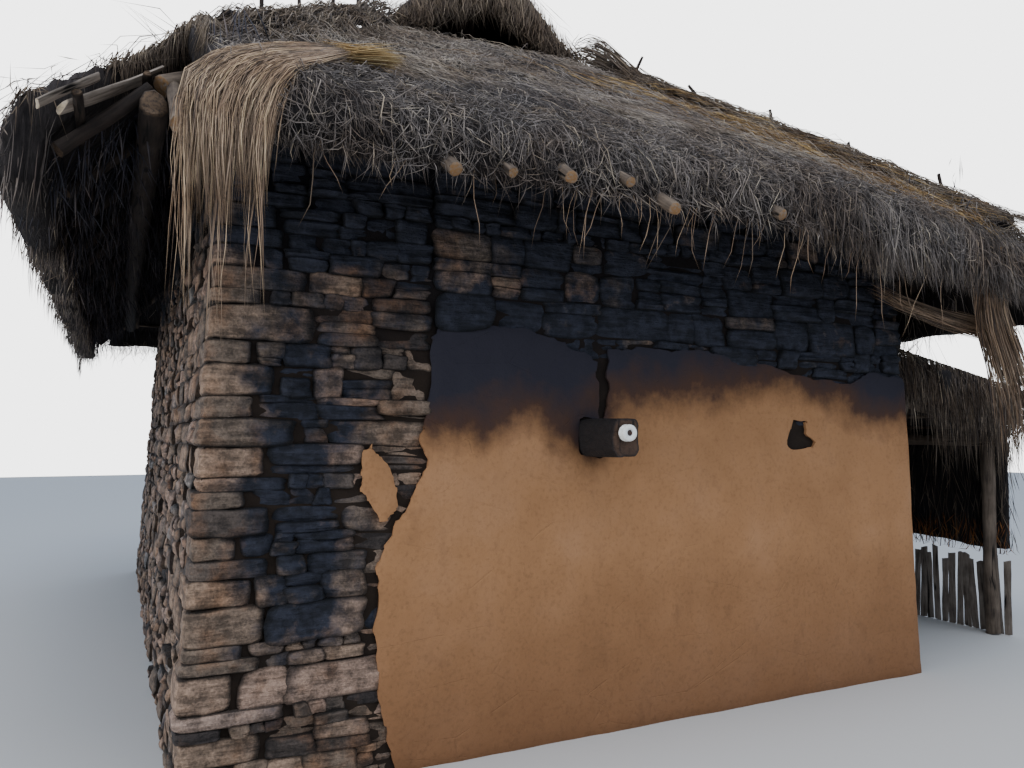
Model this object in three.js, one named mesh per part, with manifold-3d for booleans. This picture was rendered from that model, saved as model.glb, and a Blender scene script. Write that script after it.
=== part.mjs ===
// Thatched stone farmhouse: rubble walls, mud plaster on the end wall, a hipped roof with a small
// open gablet at each end of the ridge, and a low lean-to along one side.
// Millimetres, +Z up. X runs along the plastered end wall, Y runs to the back and the ground is z = 0.
// The house is laid out from the middle of its plan, and then moved so that the origin lies under the
// middle of the end wall.
import * as THREE from 'three';
import { mergeVertices } from 'three/addons/utils/BufferGeometryUtils.js';
import Module from 'manifold-3d';

const wasm = await Module();
wasm.setup();

// Plan and walls
const wallWidth = 4300;
const wallDepth = 6300;
const wallThick = 450;
const wallTop = 3010;
const shoulderHeight = 2900;
const shoulderInset = 90;
const frontBatter = 90;
const leftBatter = 160;
const footSpread = 40;
const quoinWidth = 1050;
const gap = 0.3;

// Roof: the rafter line is the plane through the middle of the rafters
const rafterLineAtWall = 3020;
const endSlope = 0.68;
const sideSlope = 0.96;
const gabletY = 1320;
const endEave = 3830;
const sideEave = 2850;
const battenTopRise = 74;
const thatchTopRise = 210;
const cornerSag = 110;
const cornerSwell = 90;
const leftFringeFoot = 2350;
const rightFringeFoot = 2190;
const endFringeFoot = 2510;

// Roof timber
const rafterRadius = 28;
const hipRadius = 42;
const battenWidth = 45;
const platePull = 220;
const sidePlateRadius = 103;
const endPlateRadius = 75;
const ridgePoleRadius = 60;
const tieRadius = 85;
const kingPostRadius = 55;
const rafterSides = 5;
const logSides = 10;

// Door in the long wall, under the lean-to
const doorFrom = -1260;
const doorTo = -390;
const doorHeight = 1650;
const doorFrameThick = 60;
const lintelDepth = 120;
const lintelBearing = 200;

// Plaster on the end wall
const plasterThick = 28;

// Log that comes out of the end wall, with a reel insulator on its end
const beamX = -225;
const beamWidth = 152;
const beamHeight = 190;
const beamMiddle = 1488;
const beamOut = 330;
const beamIn = 280;
const reelRadius = 41;
const reelHole = 15;
const reelLength = 46;

// Lean-to
const leantoFrom = -2880;
const leantoTo = 1120;
const leantoLine = 1800;
const leantoSlope = 0.19;
const leantoPostX = 3560;
const leantoEave = 3790;
const leantoThatchRise = 62;
const leantoThatchTop = 330;

const halfWidth = wallWidth / 2;
const halfDepth = wallDepth / 2;
const hipX = (y) => halfWidth + (Math.abs(y) - halfDepth) * endSlope / sideSlope;
const hipY = (x) => halfDepth + (Math.abs(x) - halfWidth) * sideSlope / endSlope;
const endLine = (y) => rafterLineAtWall + (halfDepth - Math.abs(y)) * endSlope;
const sideLine = (x) => rafterLineAtWall + (halfWidth - Math.abs(x)) * sideSlope;
const leantoHeight = (x) => leantoLine - (x - halfWidth) * leantoSlope;
const cornerX = hipX(endEave);

// The thatch grows thinner towards three corners of the eave, and thicker towards the front left one
const rising = (value, low, high) => {
  const t = Math.min(1, Math.max(0, (value - low) / (high - low)));
  return t * t * (3 - 2 * t);
};
const thatchRise = (x, y) => {
  const swell = x < 0 && y < 0 ? cornerSwell : -cornerSag;
  return thatchTopRise + swell * rising(Math.abs(x), 1300, 2500) * rising(Math.abs(y), 2300, 3700);
};

// Finishes
function finish(color, roughness, metalness = 0) {
  return new THREE.MeshStandardMaterial({ color, roughness, metalness });
}
const look = {
  stone: () => finish(0x6d5d52, 0.9),
  plaster: () => finish(0xb08a5c, 0.95),
  thatch: () => finish(0x6f6a66, 1),
  darkThatch: () => finish(0x4a423c, 1),
  straw: () => finish(0xb79a68, 1),
  pole: () => finish(0x7c6a58, 0.85),
  log: () => finish(0x4a382c, 0.85),
  board: () => finish(0x8f8272, 0.85),
  glaze: () => finish(0xece9e2, 0.25),
  iron: () => finish(0x4b4642, 0.6, 0.6),
};

// Solids
function solid(geometry) {
  const bare = geometry.clone();
  bare.deleteAttribute('normal');
  bare.deleteAttribute('uv');
  const merged = mergeVertices(bare, 1e-3);
  const vertProperties = Float32Array.from(merged.attributes.position.array);
  const triVerts = Uint32Array.from(merged.index.array);
  return new wasm.Manifold(new wasm.Mesh({ numProp: 3, vertProperties, triVerts }));
}

function joined(solids) {
  return solids.reduce((all, one) => all.add(one));
}

function without(body, cutters) {
  return cutters.reduce((left, cutter) => left.subtract(cutter), body);
}

// The main body of a cut piece, without the slivers that a cut can leave
function mainBody(body) {
  return body.decompose().reduce((best, one) => (one.volume() > best.volume() ? one : best));
}

// What lies above a level, so that a round log has a flat seat there
function above(body, z) {
  return body.trimByPlane([0, 0, 1], z);
}

function box(x0, x1, y0, y1, z0, z1) {
  const geometry = new THREE.BoxGeometry(x1 - x0, y1 - y0, z1 - z0);
  return solid(geometry.translate((x0 + x1) / 2, (y0 + y1) / 2, (z0 + z1) / 2));
}

// A straight pole, grown by extra all round where it is used to cut its neighbours
function pole(from, to, radius, sides, extra = 0) {
  const start = new THREE.Vector3(...from);
  const end = new THREE.Vector3(...to);
  const thick = radius + extra;
  const geometry = new THREE.CylinderGeometry(thick, thick, start.distanceTo(end) + 2 * extra, sides);
  const along = end.clone().sub(start).normalize();
  const turn = new THREE.Quaternion().setFromUnitVectors(new THREE.Vector3(0, 1, 0), along);
  geometry.applyQuaternion(turn);
  const middle = start.add(end).multiplyScalar(0.5);
  return solid(geometry.translate(middle.x, middle.y, middle.z));
}

// A straight board: its thickness is measured along the up direction, from the line of its foot
function board(from, to, width, thick, up, extra = 0) {
  const start = new THREE.Vector3(...from);
  const end = new THREE.Vector3(...to);
  const along = end.clone().sub(start).normalize();
  const across = new THREE.Vector3().crossVectors(new THREE.Vector3(...up), along).normalize();
  const rise = new THREE.Vector3().crossVectors(along, across);
  const length = start.distanceTo(end);
  const geometry = new THREE.BoxGeometry(length + 2 * extra, width + 2 * extra, thick + 2 * extra);
  geometry.translate(0, 0, thick / 2);
  geometry.applyMatrix4(new THREE.Matrix4().makeBasis(along, across, rise));
  const middle = start.add(end).multiplyScalar(0.5);
  return solid(geometry.translate(middle.x, middle.y, middle.z));
}

// An upright prism over a plan outline
function prism(outline, z0, z1) {
  const shape = new THREE.Shape(outline.map(([x, y]) => new THREE.Vector2(x, y)));
  const geometry = new THREE.ExtrudeGeometry(shape, { depth: z1 - z0, bevelEnabled: false });
  return solid(geometry.translate(0, 0, z0));
}

// A plate with an outline in X and Z, between two values of Y
function elevation(outline, y0, y1, holes = []) {
  const shape = new THREE.Shape(outline.map(([x, z]) => new THREE.Vector2(x, z)));
  for (const hole of holes) {
    shape.holes.push(new THREE.Path(hole.map(([x, z]) => new THREE.Vector2(x, z))));
  }
  const geometry = new THREE.ExtrudeGeometry(shape, { depth: y1 - y0, bevelEnabled: false });
  return solid(geometry.rotateX(Math.PI / 2).translate(0, y1, 0));
}

// Closed skin through rings of equal length, with flat ends
function loft(rings) {
  const count = rings[0].length;
  const positions = rings.flat(2);
  const index = [];
  for (let ring = 0; ring < rings.length - 1; ring += 1) {
    for (let i = 0; i < count; i += 1) {
      const a = ring * count + i;
      const b = ring * count + (i + 1) % count;
      index.push(a, b, b + count, a, b + count, a + count);
    }
  }
  const last = (rings.length - 1) * count;
  for (let i = 1; i < count - 1; i += 1) {
    index.push(0, i + 1, i);
    index.push(last, last + i, last + i + 1);
  }
  return closedSkin(positions, index);
}

// A solid from a skin, turned the right way out
function closedSkin(positions, index) {
  const point = (i) => new THREE.Vector3(...positions.slice(3 * i, 3 * i + 3));
  let volume = 0;
  for (let i = 0; i < index.length; i += 3) {
    volume += point(index[i]).dot(point(index[i + 1]).cross(point(index[i + 2])));
  }
  const vertProperties = Float32Array.from(positions);
  const triVerts = Uint32Array.from(index);
  if (volume < 0) triVerts.reverse();
  return new wasm.Manifold(new wasm.Mesh({ numProp: 3, vertProperties, triVerts }));
}

// A slab between two height fields over a grid of plan points: each point is [x, y, top, bottom]
function fieldSlab(rows) {
  const across = rows[0].length;
  const total = rows.length * across;
  const flat = rows.flat();
  const tops = flat.flatMap(([x, y, top]) => [x, y, top]);
  const bottoms = flat.flatMap((point) => [point[0], point[1], point[3]]);
  const positions = [...tops, ...bottoms];
  const index = [];
  const quad = (a, b, c, d) => index.push(a, b, c, a, c, d);
  for (let r = 0; r < rows.length - 1; r += 1) {
    for (let c = 0; c < across - 1; c += 1) {
      const a = r * across + c;
      quad(a, a + 1, a + 1 + across, a + across);
      quad(total + a, total + a + across, total + a + 1 + across, total + a + 1);
    }
  }
  const rim = [];
  for (let c = 0; c < across - 1; c += 1) rim.push(c);
  for (let r = 0; r < rows.length - 1; r += 1) rim.push(r * across + across - 1);
  for (let c = across - 1; c > 0; c -= 1) rim.push((rows.length - 1) * across + c);
  for (let r = rows.length - 1; r > 0; r -= 1) rim.push(r * across);
  rim.forEach((a, i) => {
    const b = rim[(i + 1) % rim.length];
    quad(b, a, a + total, b + total);
  });
  return closedSkin(positions, index);
}

// Scene graph
const farmhouse = new THREE.Group();

function put(name, body, material) {
  const data = body.getMesh();
  const geometry = new THREE.BufferGeometry();
  geometry.setAttribute('position', new THREE.BufferAttribute(Float32Array.from(data.vertProperties), 3));
  geometry.setIndex(new THREE.BufferAttribute(Uint32Array.from(data.triVerts), 1));
  geometry.computeVertexNormals();
  const mesh = new THREE.Mesh(geometry, material);
  mesh.name = name;
  farmhouse.add(mesh);
}

// Walls

// The outer form of the masonry, battered and with a sloped shoulder under the rafters
function masonryBlock(extra) {
  const level = (z, left, right, front, back) => [
    [left - extra, front - extra, z], [right + extra, front - extra, z],
    [right + extra, back + extra, z], [left - extra, back + extra, z],
  ];
  const left = -halfWidth - footSpread;
  const right = halfWidth + footSpread / 2;
  const front = -halfDepth - footSpread;
  const back = halfDepth + footSpread;
  const topLeft = left + leftBatter;
  const topFront = front + frontBatter;
  const topBack = back - frontBatter;
  return loft([
    level(0, left, right, front, back),
    level(shoulderHeight, topLeft, right - footSpread, topFront, topBack),
    level(wallTop, topLeft + shoulderInset, right - footSpread - shoulderInset,
      topFront + shoulderInset, topBack - shoulderInset),
  ]);
}

const inX = halfWidth - wallThick;
const inY = halfDepth - wallThick;
const far = 6000;
const shell = masonryBlock(0).subtract(box(-inX, inX, -inY, inY, -1, wallTop + 1));
const quoinEdge = -halfWidth + quoinWidth;
const lintelTop = doorHeight + lintelDepth;
const overDoor = [doorFrom - lintelBearing, doorTo + lintelBearing];

function beam(extra) {
  const half = beamWidth / 2 + extra;
  const rise = beamHeight / 2 + extra;
  return box(beamX - half, beamX + half, -halfDepth - beamOut, -halfDepth + beamIn + extra,
    beamMiddle - rise, beamMiddle + rise);
}

function buildWalls() {
  const part = (x0, x1, y0, y1, z0 = -1, z1 = far) => shell.intersect(box(x0, x1, y0, y1, z0, z1));
  put('front_left_pier', part(-far, quoinEdge, -far, -inY), look.stone());
  put('front_wall', part(quoinEdge + gap, far, -far, -inY).subtract(beam(gap)), look.stone());
  put('left_wall', part(-far, 0, -inY + gap, inY - gap), look.stone());
  put('back_wall', part(-far, far, inY, far), look.stone());
  const lintelRoom = box(0, far, overDoor[0] - gap, overDoor[1] + gap, doorHeight, far);
  const near = part(0, far, -inY + gap, doorFrom).subtract(lintelRoom);
  put('right_wall_near', near, look.stone());
  const rest = part(0, far, doorTo, inY - gap).subtract(lintelRoom);
  put('right_wall_far', rest, look.stone());
  put('right_wall_over_door', part(0, far, overDoor[0], overDoor[1], lintelTop + gap), look.stone());
}

function buildDoorway() {
  const outer = halfWidth - 20;
  const lintel = box(inX, outer, overDoor[0], overDoor[1], doorHeight + gap, lintelTop);
  put('door_lintel', lintel, look.log());
  const jamb = (y0, y1) => box(inX + 60, inX + 260, y0, y1, 0, doorHeight);
  put('door_jamb_near', jamb(doorFrom + gap, doorFrom + doorFrameThick), look.log());
  put('door_jamb_far', jamb(doorTo - doorFrameThick, doorTo - gap), look.log());
}

// Mud plaster: its outline on the wall, as [distance from the left corner, height]
const plasterOutline = [
  [870, 0], [800, 280], [770, 630], [780, 920], [890, 1120], [960, 1250], [1035, 1370], [985, 1490],
  [1045, 1800], [1045, 1975], [1160, 2040], [1400, 2044], [1630, 2017], [1890, 1930], [1965, 1880],
  [1970, 1590], [2030, 1590], [2034, 1965], [2640, 1968], [3010, 1924], [3560, 1836], [3820, 1818],
  [4000, 1895], [4305, 1870], [4322, 0],
];
const plasterHole = [
  [3300, 1417], [3480, 1425], [3495, 1460], [3423, 1512], [3440, 1570], [3340, 1590], [3280, 1445],
];
const plasterScrap = [
  [720, 1430], [760, 1445], [835, 1350], [875, 1180], [830, 1090], [790, 1092], [715, 1265],
];

function buildPlaster() {
  const onWall = (outline) => outline.map(([u, z]) => [u - halfWidth, z]);
  const skin = masonryBlock(plasterThick).subtract(masonryBlock(gap));
  const sheet = elevation(onWall(plasterOutline), -far, -inY, [onWall(plasterHole)]);
  const lowEnough = box(-far, far, -far, far, -1, shoulderHeight);
  const face = sheet.intersect(skin).intersect(lowEnough).subtract(beam(gap));
  const flush = box(-far, halfWidth + footSpread / 2 + plasterThick, -far, -inY - wallThick / 2, -1, far);
  put('front_plaster', mainBody(face.intersect(flush)), look.plaster());
  const scrap = elevation(onWall(plasterScrap), -far, -inY).intersect(skin);
  put('plaster_scrap', mainBody(scrap), look.plaster());
}

function buildBeam() {
  put('projecting_log', beam(0), look.log());
  const face = -halfDepth - beamOut - gap;
  const reelX = beamX - 10;
  const reelZ = beamMiddle + 22;
  const profile = [
    [reelHole, 0], [reelRadius, 0], [reelRadius, 12], [reelRadius - 13, 18], [reelRadius - 13, 28],
    [reelRadius, 34], [reelRadius - 4, reelLength], [reelHole, reelLength], [reelHole, 0],
  ].map(([r, y]) => new THREE.Vector2(r, y));
  const reel = new THREE.LatheGeometry(profile, 14);
  reel.rotateX(Math.PI).translate(reelX, face, reelZ);
  put('reel_insulator', solid(reel), look.glaze());
  const screwRadius = 6;
  const screw = [
    [0, 0], [screwRadius, 0], [screwRadius, reelLength - 12], [reelHole - 1.5, reelLength - 12],
    [reelHole - 1.5, reelLength - 6], [0, reelLength - 6],
  ].map(([r, y]) => new THREE.Vector2(r, y));
  const shank = new THREE.LatheGeometry(screw, 8);
  shank.rotateX(Math.PI).translate(reelX, face, reelZ);
  put('insulator_screw', solid(shank), look.iron());
}

// Roof timber. Every lattice is a function of extra, so that its neighbours are cut with a little room.

const endRafterX = [-2280, -1760, -1240, -705, -200, 530, 1100, 1670, 2200];
const sideRafterY = [-3450, -2880, -2320, -1760, -1250, -630, 0, 630, 1250, 1760, 2320, 2880, 3450];
const endBattenY = [3700, 3100, 2500, 1900];
const sideBattenX = [2590, 2370, 1850, 1300, 760];
const frontTipY = endEave + 25;
const backTipY = endEave - 210;
const rafterTipX = sideEave - 190;
const frontHipTipX = 2640;
const strippedHipTipX = 2320;
const backHipTipX = 2440;
const strippedBattenX = 2200;
const purlinX = 2350;
const purlinRadius = 55;
const purlinReach = 3490;
const tieY = 940;

function endLattice(front, extra) {
  const side = front ? -1 : 1;
  const normal = [0, side * endSlope, 1];
  const at = (x, y, rise = 0) => [x, side * y, endLine(y) + rise];
  const bars = endRafterX.map((x) => {
    const upper = Math.abs(x) < hipX(gabletY) ? gabletY : Math.max(gabletY, hipY(x));
    return pole(at(x, front ? frontTipY : backTipY), at(x, upper), rafterRadius, rafterSides, extra);
  });
  const lift = rafterRadius / Math.cos(Math.atan(endSlope)) - 8;
  for (const y of endBattenY.map((v) => Math.min(v, front ? v : backTipY - 30))) {
    const reach = hipX(y);
    const leftReach = front ? Math.min(reach, strippedBattenX) : reach;
    const thick = (battenTopRise - lift) * Math.cos(Math.atan(endSlope));
    bars.push(board(at(-leftReach, y, lift), at(reach, y, lift), battenWidth, thick, normal, extra));
  }
  const hipTips = front ? [strippedHipTipX, frontHipTipX] : [backHipTipX, backHipTipX];
  for (const x of [-1, 1]) {
    const hipTip = hipTips[x < 0 ? 0 : 1];
    const foot = [x * hipTip, side * hipY(hipTip), sideLine(hipTip)];
    const head = [x * hipX(gabletY), side * gabletY, endLine(gabletY)];
    bars.push(pole(foot, head, hipRadius, 8, extra));
  }
  const sillReach = hipX(gabletY);
  bars.push(pole(at(-sillReach, gabletY), at(sillReach, gabletY), hipRadius, 8, extra));
  return joined(bars);
}

function sideLattice(left, extra) {
  const side = left ? -1 : 1;
  const normal = [side * sideSlope, 0, 1];
  const at = (x, y, rise = 0) => [side * x, y, sideLine(x) + rise];
  const bars = sideRafterY.map((y) => {
    const upper = Math.abs(y) < gabletY ? 0 : hipX(y);
    return pole(at(rafterTipX, y), at(upper, y), rafterRadius, rafterSides, extra);
  });
  const lift = rafterRadius / Math.cos(Math.atan(sideSlope)) - 8;
  const thick = (battenTopRise - lift) * Math.cos(Math.atan(sideSlope));
  for (const x of sideBattenX) {
    const reach = x < hipX(gabletY) ? gabletY - 5 : Math.min(hipY(x), endEave - 120);
    bars.push(board(at(x, -reach, lift), at(x, reach, lift), battenWidth, thick, normal, extra));
  }
  const half = box(side < 0 ? -far : gap / 2, side < 0 ? -gap / 2 : far, -far, far, 0, far);
  return joined(bars).intersect(half);
}

// The log under the outer ends of the side rafters, which are lashed down on it
function eavePurlin(left) {
  const x = left ? -purlinX : purlinX;
  const z = sideLine(purlinX) - rafterRadius / Math.cos(Math.atan(sideSlope)) - purlinRadius + 4;
  return pole([x, -purlinReach, z], [x, purlinReach, z], purlinRadius, 8);
}

function buildRoofFrame() {
  const ends = { front: endLattice(true, 0), back: endLattice(false, 0) };
  const endCutters = [endLattice(true, gap), endLattice(false, gap)];
  const sides = {};
  for (const name of ['left', 'right']) {
    sides[name] = mainBody(without(sideLattice(name === 'left', 0), endCutters));
  }
  const sideCutters = [sideLattice(true, gap), sideLattice(false, gap)];
  put('rafters_front', mainBody(ends.front), look.pole());
  put('rafters_back', mainBody(ends.back), look.pole());
  put('rafters_left', sides.left, look.pole());
  put('rafters_right', sides.right, look.pole());

  const cutters = [...endCutters, ...sideCutters];
  put('eave_purlin_left', mainBody(without(eavePurlin(true), cutters)), look.pole());
  put('eave_purlin_right', mainBody(without(eavePurlin(false), cutters)), look.pole());
  const seat = wallTop + gap;
  const seatSink = 0.94;
  const sidePlateZ = seat + sidePlateRadius * seatSink;
  const plateX = halfWidth - platePull;
  const sidePlate = (side, extra) => {
    const reach = halfDepth - 190;
    const from = [side * plateX, -reach, sidePlateZ];
    return pole(from, [side * plateX, reach, sidePlateZ], sidePlateRadius, logSides, extra);
  };
  put('wall_plate_left', mainBody(without(above(sidePlate(-1, 0), seat), cutters)), look.log());
  put('wall_plate_right', mainBody(without(above(sidePlate(1, 0), seat), cutters)), look.log());
  const endPlateZ = seat + endPlateRadius * seatSink;
  const plateY = halfDepth - platePull;
  for (const [name, side] of [['wall_plate_front', -1], ['wall_plate_back', 1]]) {
    const from = [-plateX, side * plateY, endPlateZ];
    const log = above(pole(from, [plateX, side * plateY, endPlateZ], endPlateRadius, logSides), seat);
    put(name, mainBody(without(log, [...cutters, sidePlate(-1, gap), sidePlate(1, gap)])), look.log());
  }

  const tieZ = seat + tieRadius * seatSink;
  const ridgeRise = (ridgePoleRadius - 15) / Math.cos(Math.atan(sideSlope));
  const ridgeZ = sideLine(0) - rafterRadius / Math.cos(Math.atan(sideSlope)) - ridgeRise;
  const ridgeEnds = [[0, -gabletY - 60, ridgeZ], [0, gabletY + 60, ridgeZ]];
  const ridge = (extra) => pole(...ridgeEnds, ridgePoleRadius, logSides, extra);
  put('ridge_pole', mainBody(without(ridge(0), cutters)), look.log());
  for (const [name, y] of [['front', -tieY], ['middle', 0], ['back', tieY]]) {
    const reach = plateX - sidePlateRadius - 6;
    const tie = (extra) => pole([-reach, y, tieZ], [reach, y, tieZ], tieRadius, logSides, extra);
    put(`tie_beam_${name}`, above(tie(0), seat), look.log());
    if (name === 'middle') continue;
    const housed = 20;
    const foot = [0, y, tieZ + tieRadius - housed];
    const post = pole(foot, [0, y, ridgeZ - ridgePoleRadius + housed], kingPostRadius, 8);
    put(`king_post_${name}`, mainBody(without(post, [tie(gap), ridge(gap)])), look.log());
  }
}

// Thatch

const eaveRound = 110;
const cornerPull = 350;
const bare = [
  [-3000, -4300], [-2150, -4300], [-2190, -3440], [-2300, -3190], [-2800, -3600], [-3000, -3900],
];

function endThatch(front, extra) {
  const side = front ? -1 : 1;
  const lipIn = endEave - 150;
  const rows = [
    [endEave + extra, eaveRound, endFringeFoot], [endEave - 60, 25, endFringeFoot],
    [lipIn, 0, endFringeFoot], [lipIn - 20, 0, null], [halfDepth, 0, null], [2500, 0, null],
    [1900, 0, null], [gabletY + gap, 0, null],
  ];
  const steps = 10;
  const grid = rows.map(([y, drop, foot]) => {
    const reach = hipX(y) - gap / 2 + extra;
    const bottom = (foot ?? endLine(y) + battenTopRise + gap) - extra;
    return Array.from({ length: steps + 1 }, (_, i) => {
      const x = (2 * i / steps - 1) * reach;
      return [x, side * y, endLine(y) + thatchRise(x, side * y) - drop + extra, bottom];
    });
  });
  return fieldSlab(grid);
}

function sideThatch(left, extra) {
  const side = left ? -1 : 1;
  const lipIn = sideEave - 150;
  const fringeFoot = left ? leftFringeFoot : rightFringeFoot;
  const rows = [
    [sideEave + extra, eaveRound, fringeFoot], [sideEave - 50, 30, fringeFoot],
    [lipIn, 0, fringeFoot], [lipIn - 20, 0, null], [cornerX, 0, null], [2150, 0, null],
    [1500, 0, null], [hipX(gabletY), 0, null], [gap, 0, null],
  ];
  const steps = 14;
  const grid = rows.map(([x, drop, foot]) => {
    const curl = Math.max(0, (x - cornerX) / (sideEave - cornerX));
    const hipReach = x < hipX(gabletY) + 1 ? gabletY : hipY(x);
    const reach = Math.min(hipReach, endEave - cornerPull * curl * curl) - gap / 2 + extra;
    const bottom = (foot ?? sideLine(x) + battenTopRise + gap) - extra;
    return Array.from({ length: steps + 1 }, (_, i) => {
      const y = (2 * i / steps - 1) * reach;
      return [side * x, y, sideLine(x) + thatchRise(side * x, y) - drop + extra, bottom];
    });
  });
  return fieldSlab(grid);
}

const thatchTop = (x, y) => Math.min(endLine(y), sideLine(x)) + thatchRise(x, y);

// A rounded roll of straw over a hip. Its foot reaches a little into the two slopes, which cut it.
function hipRoll(sx, sy) {
  const rollHalf = 170;
  const rollRise = 75;
  const footDepth = 24;
  const foot = sx < 0 && sy < 0 ? 3050 : endEave - 160;
  const head = gabletY + 110;
  const run = new THREE.Vector2(endSlope / sideSlope, 1).normalize();
  const steps = 4;
  const grid = Array.from({ length: steps + 1 }, (_, i) => {
    const y = foot + (head - foot) * i / steps;
    return [-1, -0.6, 0, 0.6, 1].map((v) => {
      const px = hipX(y) + v * rollHalf * run.y;
      const py = y - v * rollHalf * run.x;
      const under = thatchTop(sx * px, sy * py);
      return [sx * px, sy * py, under + 18 + rollRise * (1 - v * v) ** 0.5, under - footDepth];
    });
  });
  return fieldSlab(grid);
}

function ridgeRoll() {
  const rollHalf = 260;
  const rollRise = 95;
  const reach = gabletY + 90;
  const steps = 3;
  const grid = Array.from({ length: steps + 1 }, (_, i) => {
    const y = -reach + 2 * reach * i / steps;
    return [-1, -0.6, -0.25, 0, 0.25, 0.6, 1].map((v) => {
      const low = sideLine(v * rollHalf) + thatchTopRise + gap;
      return [v * rollHalf, y, low + 20 + rollRise * (1 - v * v) ** 0.5, low];
    });
  });
  return fieldSlab(grid);
}

// A pole that holds a roll down, with pegs through it
function pinnedPole(from, to, pegs, extra) {
  const start = new THREE.Vector3(...from);
  const end = new THREE.Vector3(...to);
  const bars = [pole(from, to, 26, 6, extra)];
  for (let i = 0; i < pegs; i += 1) {
    const at = start.clone().lerp(end, (i + 0.6) / pegs);
    const leanX = 40 * Math.sin(2.3 * i + at.x / 400);
    const leanY = 45 * Math.cos(1.7 * i + at.y / 500);
    const lean = new THREE.Vector3(leanX, leanY, 150);
    const low = at.clone().addScaledVector(lean, -0.25);
    const high = at.clone().addScaledVector(lean, 0.9);
    bars.push(pole(low.toArray(), high.toArray(), 13, 4, extra));
  }
  return joined(bars);
}

function buildThatch() {
  const stripped = prism(bare, 0, far);
  const frontTimber = endLattice(true, gap);
  put('thatch_front', mainBody(without(endThatch(true, 0), [stripped, frontTimber])), look.thatch());
  put('thatch_back', endThatch(false, 0), look.thatch());
  put('thatch_left', mainBody(sideThatch(true, 0).subtract(stripped)), look.thatch());
  put('thatch_right', mainBody(sideThatch(false, 0)), look.thatch());

  const corners = [
    ['front_left', -1, -1], ['front_right', 1, -1], ['back_left', -1, 1], ['back_right', 1, 1],
  ];
  for (const [name, sx, sy] of corners) {
    const foot = name === 'front_left' ? 2950 : 3620;
    const head = gabletY + 180;
    const droop = name === 'front_left' ? 50 : 130;
    const rise = (y) => thatchTopRise + 120 - droop * (y - head) / (3620 - head);
    const at = (y) => [sx * hipX(y), sy * y, endLine(y) + rise(y)];
    const held = (extra) => pinnedPole(at(foot), at(head), name === 'front_left' ? 4 : 5, extra);
    const slopes = [endThatch(sy < 0, gap), sideThatch(sx < 0, gap)];
    put(`hip_roll_${name}`, mainBody(without(hipRoll(sx, sy), [...slopes, held(gap)])), look.darkThatch());
    put(`hip_pole_${name}`, mainBody(without(held(0), slopes)), look.pole());
  }
  const ridgeRise = sideLine(0) + thatchTopRise + 115 + 8;
  const held = (extra) => pinnedPole([0, -1340, ridgeRise], [0, 1340, ridgeRise], 5, extra);
  put('ridge_roll', mainBody(ridgeRoll().subtract(held(gap))), look.darkThatch());
  put('ridge_pinning_pole', held(0), look.pole());
}

// Straw that hangs in front of a gablet, from the edges of the side slopes
function buildGablets() {
  const half = hipX(gabletY) - 40;
  const top = (x) => sideLine(x) + thatchTopRise - 4;
  const sill = endLine(gabletY) + thatchTopRise - 4;
  const outline = [
    [-half, top(half)], [0, top(0)], [half, top(half)], [half - 130, top(half) - 190], [540, sill],
    [430, sill + 140], [350, sill + 100], [290, sill + 230], [150, sill + 200], [20, sill + 270],
    [-130, sill + 205], [-280, sill + 235], [-360, sill + 110], [-440, sill + 130], [-540, sill],
    [-half + 130, top(half) - 190],
  ];
  const thick = 61.5;
  for (const [name, side] of [['front', -1], ['back', 1]]) {
    const y0 = side < 0 ? -gabletY - thick - 0.5 : gabletY + gap;
    const fringe = elevation(outline, y0, y0 + thick);
    const clear = [endThatch(side < 0, gap), endLattice(side < 0, gap), ridgePoleRoom()];
    put(`gablet_fringe_${name}`, mainBody(without(fringe, clear)), look.darkThatch());
  }
}

function ridgePoleRoom() {
  const ridgeZ = sideLine(0) - 100;
  return pole([0, -gabletY - 100, ridgeZ], [0, gabletY + 100, ridgeZ], ridgePoleRadius, logSides, 12);
}

// The loose hank that was thrown over the eave, as sections along its run: middle, half width, half depth
function strawLoft(sections) {
  const sides = 8;
  return loft(sections.map(({ at, width, depth }) => Array.from({ length: sides }, (_, i) => {
    const turn = 2 * Math.PI * (i + 0.5) / sides;
    const point = new THREE.Vector3(...at);
    point.addScaledVector(new THREE.Vector3(...width), Math.cos(turn));
    point.addScaledVector(new THREE.Vector3(...depth), Math.sin(turn));
    return point.toArray();
  })));
}

function buildHank() {
  const hank = strawLoft([
    { at: [-1200, -2950, 3393], width: [52, -27, -18], depth: [0, -26, 40] },
    { at: [-1400, -3130, 3272], width: [72, -38, -26], depth: [0, -30, 46] },
    { at: [-1640, -3440, 3076], width: [118, -62, -42], depth: [0, -30, 50] },
    { at: [-1860, -3720, 2931], width: [165, -62, -50], depth: [0, -46, 45] },
    { at: [-2010, -3880, 2770], width: [205, 0, 0], depth: [0, -62, 15] },
    { at: [-2040, -3900, 2450], width: [215, 0, 0], depth: [0, -60, 0] },
    { at: [-2060, -3900, 2180], width: [190, 0, 0], depth: [0, -40, 0] },
    { at: [-2050, -3895, 1950], width: [110, 0, 0], depth: [0, -18, 0] },
  ]);
  const clear = [endThatch(true, gap), endLattice(true, gap), sideThatch(true, gap)];
  put('straw_hank', mainBody(without(hank, clear)), look.straw());
}

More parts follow.
